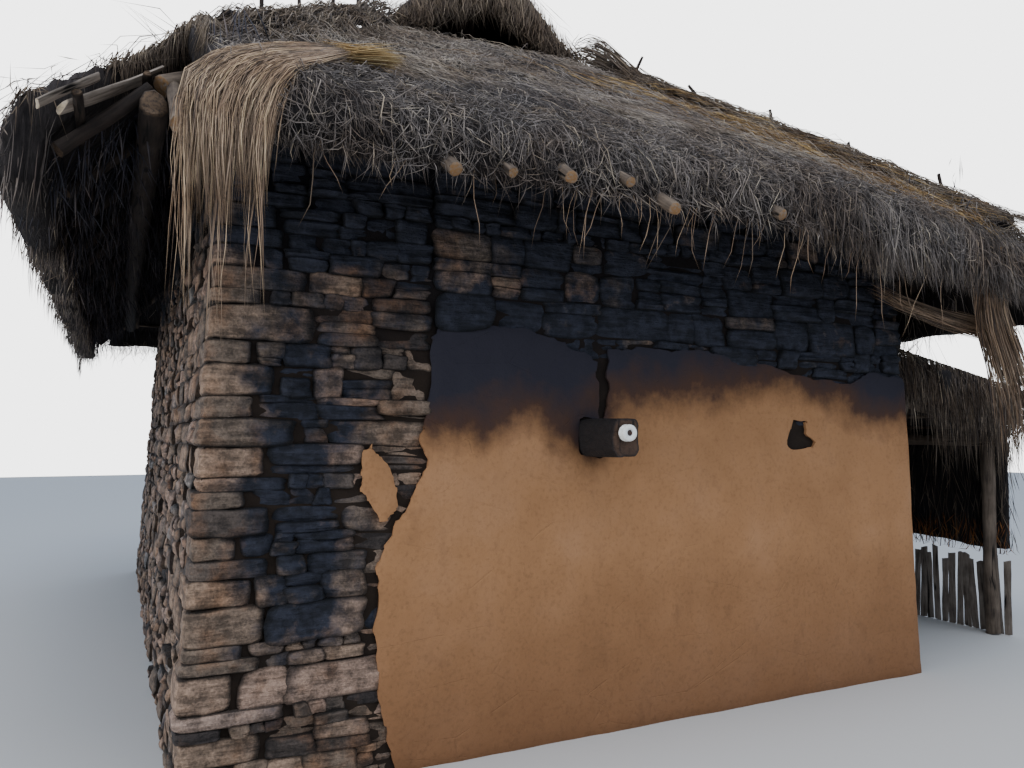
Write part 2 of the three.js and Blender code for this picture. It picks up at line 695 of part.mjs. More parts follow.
// Straw that has slipped off the right corner of the eave, with a bundle of reeds caught in it
function buildCornerHank() {
  const slipped = strawLoft([
    { at: [2330, -3700, 2540], width: [60, 0, 0], depth: [0, 55, 0] },
    { at: [2360, -3640, 2420], width: [90, 0, 0], depth: [0, 60, 0] },
    { at: [2430, -3590, 2230], width: [95, 0, 0], depth: [0, 60, 0] },
    { at: [2550, -3580, 1990], width: [90, 0, 0], depth: [0, 55, 0] },
    { at: [2620, -3590, 1740], width: [110, 0, 0], depth: [0, 55, 0] },
    { at: [2620, -3600, 1500], width: [120, 0, 0], depth: [0, 50, 0] },
    { at: [2600, -3600, 1250], width: [50, 0, 0], depth: [0, 20, 0] },
  ]);
  const reeds = strawLoft([
    { at: [1750, -3270, 2405], width: [0, 12, 0], depth: [0, 0, 12] },
    { at: [2000, -3310, 2320], width: [0, 40, 0], depth: [0, 0, 42] },
    { at: [2300, -3400, 2225], width: [0, 50, 0], depth: [0, 0, 50] },
    { at: [2480, -3530, 2150], width: [0, 40, 0], depth: [0, 0, 40] },
  ]);
  const thatch = [endThatch(true, gap), sideThatch(false, gap)];
  const timber = [endLattice(true, gap), sideLattice(false, gap)];
  put('corner_hank', mainBody(without(joined([slipped, reeds]), [...thatch, ...timber])), look.straw());
}

// Boards left on the bare corner, flat on the battens of the left slope
function buildCornerBoards() {
  const rise = battenTopRise + 2 * gap;
  const at = (x, y) => [x, y, sideLine(x) + rise];
  const normal = [-sideSlope, 0, 1];
  put('corner_board_long', board(at(-2640, -3590), at(-2334, -3331), 95, 24, normal), look.board());
  put('corner_board_short', board(at(-2700, -3760), at(-2530, -3660), 70, 24, normal), look.board());
}

// Lean-to

function leantoThatchSlab() {
  const rows = [[halfWidth + 30, 60], [halfWidth + 230, 0], [leantoPostX, 0], [leantoEave, 70]];
  const grid = rows.map(([x, drop]) => [leantoFrom - 60, -2000, -900, 200, leantoTo + 60].map((y) => [
    x, y, leantoHeight(x) + leantoThatchTop - drop, leantoHeight(x) + leantoThatchRise + gap,
  ]));
  return fieldSlab(grid);
}

function leantoLattice(extra) {
  const bars = [];
  const at = (x, y, rise = 0) => [x, y, leantoHeight(x) + rise];
  for (const y of [-2820, -2050, -1280, -510, 260, 1060]) {
    bars.push(pole(at(halfWidth + 24, y), at(leantoEave - 90, y), rafterRadius, rafterSides, extra));
  }
  const lift = rafterRadius - 6;
  for (const x of [2320, 2760, 3200, 3640]) {
    const ends = [at(x, leantoFrom + 20, lift), at(x, leantoTo - 10, lift)];
    bars.push(board(...ends, battenWidth, leantoThatchRise - lift - 1, [leantoSlope, 0, 1], extra));
  }
  return joined(bars);
}

function buildLeanto() {
  put('leanto_thatch', leantoThatchSlab(), look.darkThatch());
  put('leanto_rafters', leantoLattice(0), look.pole());
  const ledgerRadius = 45;
  const wallFace = halfWidth + footSpread / 2 - footSpread * leantoLine / shoulderHeight;
  const ledgerX = wallFace + ledgerRadius * 0.9;
  const ledgerZ = leantoHeight(ledgerX) - rafterRadius - ledgerRadius + 10;
  const outside = masonryBlock(gap);
  const ledger = pole([ledgerX, leantoFrom, ledgerZ], [ledgerX, leantoTo, ledgerZ], ledgerRadius, 8);
  put('leanto_ledger', mainBody(without(ledger, [leantoLattice(gap), outside])), look.pole());
  const plateRadius = 50;
  const plateZ = leantoHeight(leantoPostX) - rafterRadius - plateRadius + 10;
  const plateEnds = [[leantoPostX, leantoFrom, plateZ], [leantoPostX, leantoTo, plateZ]];
  const plate = (extra) => pole(...plateEnds, plateRadius, 8, extra);
  put('leanto_plate', mainBody(plate(0).subtract(leantoLattice(gap))), look.pole());
  const postRadius = 52;
  for (const [name, y] of [['front', leantoFrom + 110], ['middle', -880], ['back', leantoTo - 110]]) {
    const head = [leantoPostX, y, plateZ - plateRadius + 14];
    const post = pole([leantoPostX, y, 0], head, postRadius, 8);
    put(`leanto_post_${name}`, mainBody(post.subtract(plate(gap))), look.pole());
  }
  const screenX = leantoPostX + 60;
  const screenThick = 70;
  const screenFoot = 620;
  const screen = fieldSlab([screenX, screenX + screenThick].map((x) => (
    [leantoFrom, -2000, -1000, 0, leantoTo].map((y, i) => [
      x, y, leantoHeight(x) + leantoThatchRise, screenFoot + 45 * (i % 2),
    ])
  )));
  put('leanto_screen', mainBody(screen.subtract(leantoLattice(gap))), look.darkThatch());
  const wattleX = leantoPostX + postRadius;
  const wattleThick = 7;
  const wattleHeight = 600;
  const wattle = box(wattleX + gap, wattleX + wattleThick, leantoFrom, leantoTo, 0, wattleHeight);
  put('wattle_panel', wattle, look.board());
}

buildWalls();
buildDoorway();
buildPlaster();
buildBeam();
buildRoofFrame();
buildThatch();
buildGablets();
buildHank();
buildCornerHank();
buildCornerBoards();
buildLeanto();
farmhouse.position.y = halfDepth - wallThick / 2;

export default farmhouse;
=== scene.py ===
import math
import bpy
import numpy as np
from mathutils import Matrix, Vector
from mathutils.bvhtree import BVHTree


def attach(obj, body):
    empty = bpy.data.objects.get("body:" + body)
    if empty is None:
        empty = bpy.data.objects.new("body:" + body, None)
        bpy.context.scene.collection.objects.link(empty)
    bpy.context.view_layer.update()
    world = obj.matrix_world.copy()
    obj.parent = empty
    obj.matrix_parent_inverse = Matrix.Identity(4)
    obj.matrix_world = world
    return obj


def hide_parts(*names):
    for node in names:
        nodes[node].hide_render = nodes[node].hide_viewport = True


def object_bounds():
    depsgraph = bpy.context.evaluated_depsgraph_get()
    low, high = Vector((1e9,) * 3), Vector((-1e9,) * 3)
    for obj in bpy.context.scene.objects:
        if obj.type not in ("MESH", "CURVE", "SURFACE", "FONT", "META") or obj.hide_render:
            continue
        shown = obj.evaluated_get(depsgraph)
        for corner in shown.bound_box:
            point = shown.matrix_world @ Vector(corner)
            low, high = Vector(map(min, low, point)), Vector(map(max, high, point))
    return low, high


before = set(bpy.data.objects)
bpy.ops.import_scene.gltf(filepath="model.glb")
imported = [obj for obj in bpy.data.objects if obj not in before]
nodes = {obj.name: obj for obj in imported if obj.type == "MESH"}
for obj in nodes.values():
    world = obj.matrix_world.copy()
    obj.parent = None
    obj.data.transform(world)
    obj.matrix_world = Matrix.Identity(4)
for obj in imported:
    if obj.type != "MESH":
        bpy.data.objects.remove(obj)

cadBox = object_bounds()
bpy.ops.object.select_all(action="DESELECT")
tally = {"triangles": 0}

# The house as it is laid out in the frame, in metres, from the middle of its plan
house = {
    "width": 4.30, "depth": 6.30, "planMiddle": 2.925, "footSpread": 0.04, "frontBatter": 0.09,
    "leftBatter": 0.16, "shoulder": 2.90, "quoin": 1.05, "rafterLine": 3.02, "endSlope": 0.68,
    "sideSlope": 0.96, "gablet": 1.32, "endEave": 3.83, "sideEave": 2.85, "topRise": 0.21, "cornerSag": 0.11,
    "cornerSwell": 0.09,
}
halfW, halfD = house["width"] / 2, house["depth"] / 2
yShift = house["planMiddle"]
hipRun = house["endSlope"] / house["sideSlope"]


def rising(value, low, high):
    t = np.clip((value - low) / (high - low), 0, 1)
    return t * t * (3 - 2 * t)


def hipX(y):
    return halfW + (np.abs(y) - halfD) * hipRun


def hipY(x):
    return halfD + (np.abs(x) - halfW) / hipRun


def endLine(y):
    return house["rafterLine"] + (halfD - np.abs(y)) * house["endSlope"]


def sideLine(x):
    return house["rafterLine"] + (halfW - np.abs(x)) * house["sideSlope"]


def thatchRise(x, y):
    swell = np.where((x < 0) & (y < 0), house["cornerSwell"], -house["cornerSag"])
    return house["topRise"] + swell * rising(np.abs(x), 1.3, 2.5) * rising(np.abs(y), 2.3, 3.7)


def frontFace(z):  # outer face of the end wall at a height
    return -halfD - house["footSpread"] + house["frontBatter"] * z / house["shoulder"]


def leftFace(z):
    return -halfW - house["footSpread"] + house["leftBatter"] * z / house["shoulder"]


def rightFace(z):
    return halfW + house["footSpread"] / 2 - house["footSpread"] * z / house["shoulder"]


hips = {"front_left": (-1, -1), "front_right": (1, -1), "back_left": (-1, 1), "back_right": (1, 1)}


# Camera at the photograph's place
view = {"place": (-2.43, -6.735, 1.50), "yaw": 26.0, "pitch": 3.63, "lens": 28.27, "sensor": 36.0}


def setCamera():
    data = bpy.data.cameras.new("view")
    data.lens, data.sensor_width = view["lens"], view["sensor"]
    camera = bpy.data.objects.new("view", data)
    x, y, z = view["place"]
    camera.location = (x, y + yShift, z)
    camera.rotation_euler = (math.radians(90 + view["pitch"]), 0, math.radians(-view["yaw"]))
    bpy.context.scene.collection.objects.link(camera)
    bpy.context.scene.camera = camera


# Studio
studio = {
    "floorSize": 60.0, "sky": (0.66, 0.79, 1.0), "skyStrength": 1.05, "backdrop": 4.0,
    "lamps": [((-9.0, -5.0, 2.6), 4.0, 330.0), ((5.0, -9.5, 6.0), 6.0, 110.0), ((-1.5, -6.0, 9.5), 6.0, 420.0)],
}


def buildStudio():
    bpy.ops.mesh.primitive_plane_add(size=studio["floorSize"], location=(0, 0, 0))
    floor = bpy.context.object
    floor.name = "studioFloor"
    paint = bpy.data.materials.new("studioFloor")
    paint.use_nodes = True
    shader = Tree(paint.node_tree).shader
    shader["Base Color"].default_value = (0.58, 0.56, 0.53, 1)
    shader["Roughness"].default_value = 0.9
    floor.data.materials.append(paint)
    world = bpy.data.worlds.new("studio")
    world.use_nodes = True
    tree = Tree(world.node_tree)
    seen = tree.add("ShaderNodeLightPath").outputs["Is Camera Ray"]
    sky = world.node_tree.nodes["Background"].inputs
    tree.join(tree.mix(seen, (*studio["sky"], 1), (1, 1, 1, 1)), sky["Color"])
    tree.join(tree.scaled(seen, studio["backdrop"] - studio["skyStrength"], studio["skyStrength"]), sky["Strength"])
    bpy.context.scene.world = world
    for spot, size, power in studio["lamps"]:
        data = bpy.data.lights.new("softLamp", "AREA")
        data.size, data.energy = size, power
        lamp = bpy.data.objects.new("softLamp", data)
        lamp.location = (spot[0], spot[1] + yShift, spot[2])
        aim = Vector((0, yShift - halfD, 1.5)) - Vector(lamp.location)
        lamp.rotation_euler = aim.to_track_quat("-Z", "Y").to_euler()
        bpy.context.scene.collection.objects.link(lamp)


# Small tools for shapes
def softNoise(places, size, seed=0):  # a smooth random field between -1 and 1
    p = np.asarray(places, float) / size
    cell = np.floor(p).astype(np.int64)
    f = p - cell
    f = f * f * (3 - 2 * f)
    total = np.zeros(len(p))
    for corner in range(8):
        step = np.array([corner & 1, corner >> 1 & 1, corner >> 2 & 1])
        at = cell + step
        key = at[:, 0] * 374761393 + at[:, 1] * 668265263 + at[:, 2] * 2246822519 + seed * 3266489917
        key = (key ^ (key >> 13)) * 1274126177
        value = ((key ^ (key >> 16)) & 65535) / 32767.5 - 1
        total += np.prod(np.where(step == 1, f, 1 - f), axis=1) * value
    return total


def flatNoise(u, v, size, seed):
    return softNoise(columns(u, v, np.zeros_like(u)), size, seed)


def columns(*parts):
    return np.stack(parts, axis=-1)


def inFrame(places):  # from the middle of the plan to the frame's origin
    moved = np.array(places, float)
    moved[..., 1] += yShift
    return moved


def keepInBox(places, edge=0.003):  # nothing stands outside the CAD model's box
    low, high = np.array(cadBox[0]) + edge, np.array(cadBox[1]) - edge
    low[2] = 0.0
    return np.clip(places, low, high)


def newMesh(name, places, faces, fields=None, smooth=True):
    mesh = bpy.data.meshes.new(name)
    places, faces = np.asarray(places, float), np.asarray(faces, np.int32)
    count, corners = faces.shape
    mesh.vertices.add(len(places))
    mesh.vertices.foreach_set("co", places.ravel())
    mesh.loops.add(count * corners)
    mesh.loops.foreach_set("vertex_index", faces.ravel())
    mesh.polygons.add(count)
    mesh.polygons.foreach_set("loop_start", np.arange(count) * corners)
    mesh.update(calc_edges=True)
    mesh.polygons.foreach_set("use_smooth", np.full(count, smooth))
    piece = bpy.data.objects.new(name, mesh)
    bpy.context.scene.collection.objects.link(piece)
    for field, values in (fields or {}).items():
        addField(piece, field, values)
    return piece


def addField(piece, field, values):
    values = np.asarray(values, float)
    if values.ndim == 2:
        piece.data.attributes.new(field, "FLOAT_VECTOR", "POINT").data.foreach_set("vector", values.ravel())
    else:
        piece.data.attributes.new(field, "FLOAT", "POINT").data.foreach_set("value", values)


def points(piece):
    flat = np.zeros(len(piece.data.vertices) * 3)
    piece.data.vertices.foreach_get("co", flat)
    return flat.reshape(-1, 3)


def setPoints(piece, values):
    piece.data.vertices.foreach_set("co", np.asarray(values, float).ravel())
    piece.data.update()


def normals(piece):
    flat = np.zeros(len(piece.data.vertices) * 3)
    piece.data.vertices.foreach_get("normal", flat)
    return flat.reshape(-1, 3)


def faceLists(piece):
    return np.array([list(face.vertices) for face in piece.data.polygons])


def only(piece):
    bpy.ops.object.select_all(action="DESELECT")
    piece.select_set(True)
    bpy.context.view_layer.objects.active = piece


def editMode(chosen=None, kind=None):  # chosen is SELECT or DESELECT, for all of the piece
    bpy.ops.object.mode_set(mode="EDIT")
    if kind:
        bpy.ops.mesh.select_mode(type=kind)
    if chosen:
        bpy.ops.mesh.select_all(action=chosen)


def objectMode():
    bpy.ops.object.mode_set(mode="OBJECT")


def facesOut():  # ends edit mode with the chosen faces turned outwards
    bpy.ops.mesh.normals_make_consistent(inside=False)
    objectMode()


def smoothBelow(piece, degrees):
    only(piece)
    bpy.ops.object.shade_smooth_by_angle(angle=math.radians(degrees))


def pickFaces(piece, chosen):  # leaves edit mode on, with just these faces selected
    only(piece)
    editMode("DESELECT", "FACE")
    objectMode()
    piece.data.polygons.foreach_set("select", chosen)
    editMode()


def apply(piece, kind, **settings):
    only(piece)
    step = piece.modifiers.new(kind, kind)
    for key, value in settings.items():
        setattr(step, key, value)
    bpy.ops.object.modifier_apply(modifier=step.name)


def copyOf(node, name):  # a merged copy of a CAD node, to be worked up
    piece = nodes[node].copy()
    piece.data = nodes[node].data.copy()
    piece.parent = None
    for key in list(piece.keys()):
        del piece[key]
    piece.name = name
    bpy.context.scene.collection.objects.link(piece)
    only(piece)
    piece.data.materials.clear()
    editMode("SELECT")
    bpy.ops.mesh.remove_doubles(threshold=0.0001)
    objectMode()
    return piece


def finishPiece(piece, material, slot, *replaced):
    piece.data.materials.clear()
    piece.data.materials.append(looks[material])
    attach(piece, "root")
    if replaced:
        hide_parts(*replaced)
    tally["triangles"] += sum(len(face.vertices) - 2 for face in piece.data.polygons)
    return piece


# Materials
def hexColor(code):
    parts = [int(code[i:i + 2], 16) / 255 for i in (0, 2, 4)]
    return (*[c / 12.92 if c <= 0.04045 else ((c + 0.055) / 1.055) ** 2.4 for c in parts], 1)


class Tree:
    # a short way to place and join the nodes of one material or group
    def __init__(self, tree):
        self.tree = tree
        shader = tree.nodes.get("Principled BSDF")
        self.shader = shader.inputs if shader else None

    def add(self, kind, settings=None, **links):
        made = self.tree.nodes.new(kind)
        for key, value in (settings or {}).items():
            setattr(made, key, value)
        for key, value in links.items():
            socket = made.inputs[int(key[1:])] if key[1:].isdigit() else made.inputs[key]
            if isinstance(value, bpy.types.NodeSocket):
                self.tree.links.new(value, socket)
            else:
                socket.default_value = hexColor(value) if isinstance(value, str) else value
        return made

    def join(self, value, socket):
        self.tree.links.new(value, socket)

    def math(self, operation, a, b=0.0, c=0.0):
        return self.add("ShaderNodeMath", {"operation": operation}, i0=a, i1=b, i2=c).outputs[0]

    def scaled(self, a, times, plus=0.0):
        return self.math("MULTIPLY_ADD", a, times, plus)

    def paint(self, color, normal=None):
        self.join(color, self.shader["Base Color"])
        if normal is not None:
            self.join(normal, self.shader["Normal"])

    def times(self, a, b):
        return self.mix(1.0, a, b, "MULTIPLY")

    def mix(self, factor, a, b, blend="MIX"):
        made = self.add("ShaderNodeMix", {"data_type": "RGBA", "blend_type": blend}, i0=factor, i6=a, i7=b)
        return made.outputs[2]

    def ramp(self, value, stops):
        made = self.add("ShaderNodeValToRGB", i0=value)
        elements = made.color_ramp.elements
        for at, color in stops[1:-1]:
            elements.new(at)
        elements[0].position, elements[len(stops) - 1].position = stops[0][0], stops[-1][0]
        for element, (at, color) in zip(elements, stops):
            element.color = hexColor(color) if isinstance(color, str) else (color, color, color, 1)
        return made.outputs["Color"]

    def step(self, value, low, high, top=1.0):  # rises from 0 at low to top at high
        return self.ramp(value, [(low, 0.0), (high, top)])

    def noise(self, where, scale, detail=3.0, roughness=0.55, distortion=0.0):
        made = self.add("ShaderNodeTexNoise", Vector=where, Scale=scale, Detail=detail, Roughness=roughness,
                        Distortion=distortion)
        return made.outputs["Fac"]

    def cells(self, where, scale):  # distance to the edges of cells
        made = self.add("ShaderNodeTexVoronoi", {"feature": "DISTANCE_TO_EDGE"}, Vector=where, Scale=scale)
        return made.outputs["Distance"]

    def stretched(self, where, scale):
        return self.add("ShaderNodeMapping", Vector=where, Scale=scale).outputs[0]

    def field(self, name, output="Fac"):
        return self.add("ShaderNodeAttribute", {"attribute_name": name}).outputs[output]

    def use(self, name, **links):
        return self.add("ShaderNodeGroup", {"node_tree": groups[name]}, **links).outputs

    def bump(self, height, strength, distance, normal=None):
        links = {"Height": height, "Strength": strength, "Distance": distance}
        if normal is not None:
            links["Normal"] = normal
        return self.add("ShaderNodeBump", **links).outputs[0]


def newGroup(name, inputs, outputs):
    group = bpy.data.node_groups.new(name, "ShaderNodeTree")
    for label, kind, value in inputs:
        socket = group.interface.new_socket(name=label, in_out="INPUT", socket_type=kind)
        if value is not None:
            socket.default_value = value
    for label, kind in outputs:
        group.interface.new_socket(name=label, in_out="OUTPUT", socket_type=kind)
    tree = Tree(group)
    groups[name] = group
    return tree, tree.add("NodeGroupInput").outputs, tree.add("NodeGroupOutput").inputs


def newMaterial(name, roughness=0.9, specular=0.25):
    material = bpy.data.materials.new(name)
    material.use_nodes = True
    tree = Tree(material.node_tree)
    tree.shader["Roughness"].default_value = roughness
    tree.shader["Specular IOR Level"].default_value = specular
    looks[name] = material
    return tree, tree.add("ShaderNodeTexCoord").outputs["Object"]


groups, looks = {}, {}
floatSocket, vectorSocket = "NodeSocketFloat", "NodeSocketVector"


def buildGroups():
    # layered rock: fine flat beds, lumps and grit
    tree, inputs, outputs = newGroup("rockBeds", [("Vector", vectorSocket, None), ("Beds", floatSocket, 26.0)],
                                     [("Height", floatSocket), ("Grit", floatSocket)])
    beds = tree.noise(tree.stretched(inputs["Vector"], (0.14, 0.14, 1.0)), inputs["Beds"], 5.0, 0.62)
    grit = tree.noise(inputs["Vector"], 90.0, 4.0, 0.65)
    lumps = tree.noise(inputs["Vector"], 15.0, 3.0)
    fine = tree.math("ADD", tree.math("MULTIPLY", grit, 0.22), tree.math("MULTIPLY", lumps, 0.8))
    tree.join(tree.scaled(beds, 0.9, fine), outputs["Height"])
    tree.join(grit, outputs["Grit"])
    # soot: a mask that eats in from a given amount along a ragged line
    tree, inputs, outputs = newGroup(
        "sootVeil", [("Vector", vectorSocket, None), ("Amount", floatSocket, 0.0), ("Scale", floatSocket, 6.0),
                     ("Ragged", floatSocket, 0.7)], [("Mask", floatSocket)])
    cloud = tree.noise(inputs["Vector"], inputs["Scale"], 5.0, 0.6)
    amount = tree.scaled(tree.math("SUBTRACT", cloud, 0.5), inputs["Ragged"], inputs["Amount"])
    tree.join(tree.step(amount, 0.22, 0.78), outputs["Mask"])
    # wood grain along the axis that the stretch keeps short
    tree, inputs, outputs = newGroup("woodGrain", [("Vector", vectorSocket, None), ("Stretch", vectorSocket, None)],
                                     [("Grain", floatSocket), ("Checks", floatSocket)])
    along = tree.add("ShaderNodeMapping", Vector=inputs["Vector"], Scale=inputs["Stretch"]).outputs[0]
    tree.join(tree.noise(along, 60.0, 5.0, 0.6, 0.4), outputs["Grain"])
    tree.join(tree.step(tree.noise(along, 30.0, 2.0, 0.5, 0.8), 0.60, 0.70), outputs["Checks"])


stoneLook = {
    "beds": 34.0, "bump": 1.0, "depth": 0.030, "soot": ("0f1017", "33353f"),
    "tones": ["38312e", "544941", "6f5f51", "8d7561", "977d6c", "7d7670"],
}


def stoneMaterial():
    tree, where = newMaterial("fieldstone", 0.85, 0.3)
    rock = tree.use("rockBeds", Vector=where, Beds=stoneLook["beds"])
    base = tree.ramp(tree.field("tone"), shades(stoneLook["tones"]))
    rust = tree.step(tree.noise(where, 6.0, 4.0), 0.48, 0.70, 0.6)
    base = tree.mix(rust, base, "7d5638")
    base = tree.times(base, tree.ramp(rock["Grit"], [(0.32, 0.7), (0.68, 1.15)]))
    dark = tree.mix(tree.noise(where, 26.0, 4.0), stoneLook["soot"][0], stoneLook["soot"][1])
    veil = tree.use("sootVeil", Vector=where, Amount=tree.field("soot"), Scale=9.0, Ragged=1.5)
    base = tree.mix(veil["Mask"], base, dark)
    # painted shade and light: the colour is darkened in the low parts of the bump relief and brightened on its raised
    # beds, as self-shadow and light on the strata
    base = tree.times(base, tree.ramp(tree.math("SUBTRACT", rock["Height"], 0.46), [(0.36, 0.45), (0.62, 1.3)]))
    # painted shade: the stone colour is darkened towards the rims and sides of each stone, where crevice shade falls
    # (the face field is 1 on the open face and 0 at the rims)
    creviceShade = tree.ramp(tree.field("face"), [(0.05, 0.22), (0.75, 1.0)])
    tree.paint(tree.times(base, creviceShade), tree.bump(rock["Height"], stoneLook["bump"], stoneLook["depth"]))


def jointMaterial():  # mud and shadow between the stones, and the mud-smeared inner faces
    tree, where = newMaterial("mudJoint", 0.95, 0.15)
    height = tree.add("ShaderNodeSeparateXYZ", Vector=where).outputs["Z"]
    earth = tree.mix(tree.noise(where, 11.0, 5.0), "1a1512", "30261e")
    amount = tree.scaled(height, 0.5, -0.6)
    veil = tree.use("sootVeil", Vector=where, Amount=amount, Scale=3.0, Ragged=0.6)
    color = tree.mix(veil["Mask"], earth, "0b0b10")
    tree.paint(color, tree.bump(tree.noise(where, 40.0, 6.0, 0.6), 0.6, 0.01))


def plasterMaterial():
    tree, where = newMaterial("ochrePlaster", 0.92, 0.2)
    blotch = tree.noise(where, 2.0, 5.0, 0.6)
    base = tree.ramp(blotch, [(0.28, "906744"), (0.5, "9d724d"), (0.72, "a67b57")])
    base = tree.mix(tree.field("damp"), base, "6d4a31")
    speck = tree.ramp(tree.noise(where, 50.0, 3.0, 0.6), [(0.30, 0.86), (0.50, 1.03)])
    base = tree.times(base, speck)
    stain = tree.noise(tree.stretched(where, (1.0, 1.0, 0.45)), 5.0, 6.0, 0.6)
    base = tree.mix(tree.step(stain, 0.60, 0.85, 0.20), base, "65472d")
    streaks = tree.math("SUBTRACT", tree.noise(tree.stretched(where, (1.0, 1.0, 0.5)), 6.0, 4.0, 0.6), 0.5)
    cloud = tree.math("SUBTRACT", tree.noise(where, 8.0, 6.0, 0.65), 0.5)
    veil = tree.scaled(streaks, 0.45, tree.scaled(cloud, 0.55, tree.field("soot")))
    brown = tree.mix(tree.step(veil, 0.05, 0.50, 0.92), base, "442b1b")
    slate = tree.mix(tree.step(veil, 0.30, 0.90), brown, "2c2a31")
    relief = tree.scaled(tree.noise(where, 120.0, 3.0), 0.25, tree.noise(where, 17.0, 4.0, 0.55))
    flat = tree.stretched(where, (0.6, 0.6, 1.7))
    cracks = tree.scaled(tree.noise(where, 9.0), 0.06, tree.cells(flat, 2.3))
    cracks = tree.step(cracks, 0.026, 0.034)
    tree.paint(slate, tree.bump(cracks, 0.4, 0.005, tree.bump(relief, 0.6, 0.010)))


strawLooks = {
    "greyStraw": ["2c2826", "5a534f", "857b74", "a39686", "b8aa94"],
    "brownStraw": ["1c1714", "3c322b", "675a4e", "8f806d", "b3a38b"],
    "paleStraw": ["3b3131", "70604f", "a58c75", "c9ae8d", "e0caa5"],
    "goldStraw": ["4a3624", "785d3f", "a08355", "bd9f6c", "d6bd8c"],
    # painted shade: a dark bluish palette for the straw that hangs in the shade under the eaves
    "eaveShadeStraw": ["16161b", "292830", "413e45", "5e5757", "80716a"],
    # partly painted light: orange straw, its palette brightened to stand in for the light on the stems at the foot of
    # the lean-to screen
    "litOrangeStraw": ["3d2310", "6b411d", "96602e", "b98144", "d3a566"],
}
bedLooks = {
    "greyBed": ["1b1818", "393433", "5a5350", "7a706a"],
    "darkBed": ["0d0b0b", "1c1716", "302824", "483d36"],
}


def shades(codes):
    return [(i / (len(codes) - 1), code) for i, code in enumerate(codes)]


def strawMaterial(name):
    tree, where = newMaterial(name, 0.7, 0.3)
    tone = tree.scaled(tree.noise(where, 38.0, 2.0), 0.16, tree.math("ADD", tree.field("tone"), -0.08))
    color = tree.ramp(tone, shades(strawLooks[name]))
    warm = tree.step(tree.noise(where, 3.0, 3.0), 0.42, 0.62, 0.5)
    tree.paint(tree.mix(warm, color, "9a7a58", "MULTIPLY"))


def bedMaterial(name):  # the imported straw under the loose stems
    tree, where = newMaterial(name, 0.95, 0.15)
    facing = tree.add("ShaderNodeSeparateXYZ", Vector=tree.add("ShaderNodeNewGeometry").outputs["Normal"]).outputs
    lean = tree.math("SUBTRACT", tree.math("ABSOLUTE", facing["X"]), tree.math("ABSOLUTE", facing["Y"]))
    onEnd = tree.noise(tree.stretched(where, (1.0, 0.16, 0.16)), 70.0, 4.0, 0.65)
    onSide = tree.noise(tree.stretched(where, (0.16, 1.0, 0.16)), 70.0, 4.0, 0.65)
    stems = tree.mix(tree.step(lean, 0.45, 0.55), onEnd, onSide)
    tone = tree.scaled(stems, 0.9, tree.scaled(tree.noise(where, 3.5, 4.0), 0.4, -0.35))
    # painted light and shade: the straw is left bright where it faces up to the sky and darkened on its steep sides and
    # undersides
    paintedTopLight = tree.ramp(facing["Z"], [(0.10, 0.55), (0.72, 1.0)])
    tree.paint(tree.times(tree.ramp(tone, shades(bedLooks[name])), paintedTopLight), tree.bump(stems, 0.9, 0.025))


woodLooks = {
    "weatheredPole": {"dark": "2e2520", "light": "7b6c5d", "cut": "80603f", "stretch": (1.0, 1.0, 0.10), "field": True},
    # painted shade: a darker copy of the weathered pole wood, for the side rafters and eave purlins that sit in the
    # shade under the eaves; the pins use it too
    "darkAndShadedPole": {"dark": "120e0d", "light": "3c322b", "cut": "5d4c3c", "stretch": (1.0, 1.0, 0.10), "field": True},
    "splitBoard": {"dark": "4b4138", "light": "a4978a", "cut": "b9a98f", "stretch": (1.0, 1.0, 0.10), "field": True},
    "smokedAlongX": {"dark": "100b09", "light": "37281f", "stretch": (0.12, 1.0, 1.0), "field": False},
    "smokedAlongY": {"dark": "100b09", "light": "37281f", "stretch": (1.0, 0.12, 1.0), "field": False},
    "smokedAlongZ": {"dark": "100b09", "light": "37281f", "stretch": (1.0, 1.0, 0.12), "field": False},
}


def woodMaterial(name):
    look = woodLooks[name]
    tree, where = newMaterial(name, 0.85, 0.22)
    if look["field"]:
        where = tree.field("grainAt", "Vector")
    wood = tree.use("woodGrain", Vector=where, Stretch=look["stretch"])
    tone = tree.scaled(tree.noise(where, 6.0, 4.0), 0.8, tree.scaled(wood["Grain"], 0.9, -0.4))
    color = tree.mix(tree.step(tone, 0.15, 0.80), look["dark"], look["light"])
    color = tree.mix(wood["Checks"], color, "0d0a08")
    if look["field"]:
        rings = tree.ramp(tree.noise(where, 90.0, 3.0), [(0.35, look["light"]), (0.55, look["cut"])])
        color = tree.mix(tree.field("cut"), color, rings)
    tree.paint(color, tree.bump(tree.math("SUBTRACT", wood["Grain"], wood["Checks"]), 0.6, 0.005))


def charredMaterial():
    tree, where = newMaterial("charredLog", 0.8, 0.3)
    wood = tree.use("woodGrain", Vector=where, Stretch=(1.0, 0.10, 1.0))
    scales = tree.step(tree.cells(tree.stretched(where, (1.0, 0.45, 1.0)), 34.0), 0.02, 0.10)
    char = tree.mix(tree.noise(where, 30.0, 4.0), "0e0c0e", "2b2523")
    end = tree.mix(tree.noise(where, 45.0, 4.0), "2c1f19", "5c4636")
    grooves = tree.step(tree.noise(tree.stretched(where, (1.0, 1.0, 0.2)), 40.0), 0.58, 0.66, 0.9)
    end = tree.mix(grooves, end, "120d0b")
    normal = tree.bump(wood["Grain"], 0.5, 0.004, tree.bump(scales, 0.5, 0.004))
    tree.paint(tree.mix(tree.field("cut"), char, end), normal)


def glazeMaterial():
    tree, where = newMaterial("whiteGlaze", 0.16, 0.55)
    grime = tree.step(tree.noise(where, 45.0, 5.0, 0.6), 0.54, 0.74, 0.5)
    tree.paint(tree.mix(grime, "f0eee7", "8c8173"))
    tree.join(tree.scaled(grime, 0.5, 0.14), tree.shader["Roughness"])


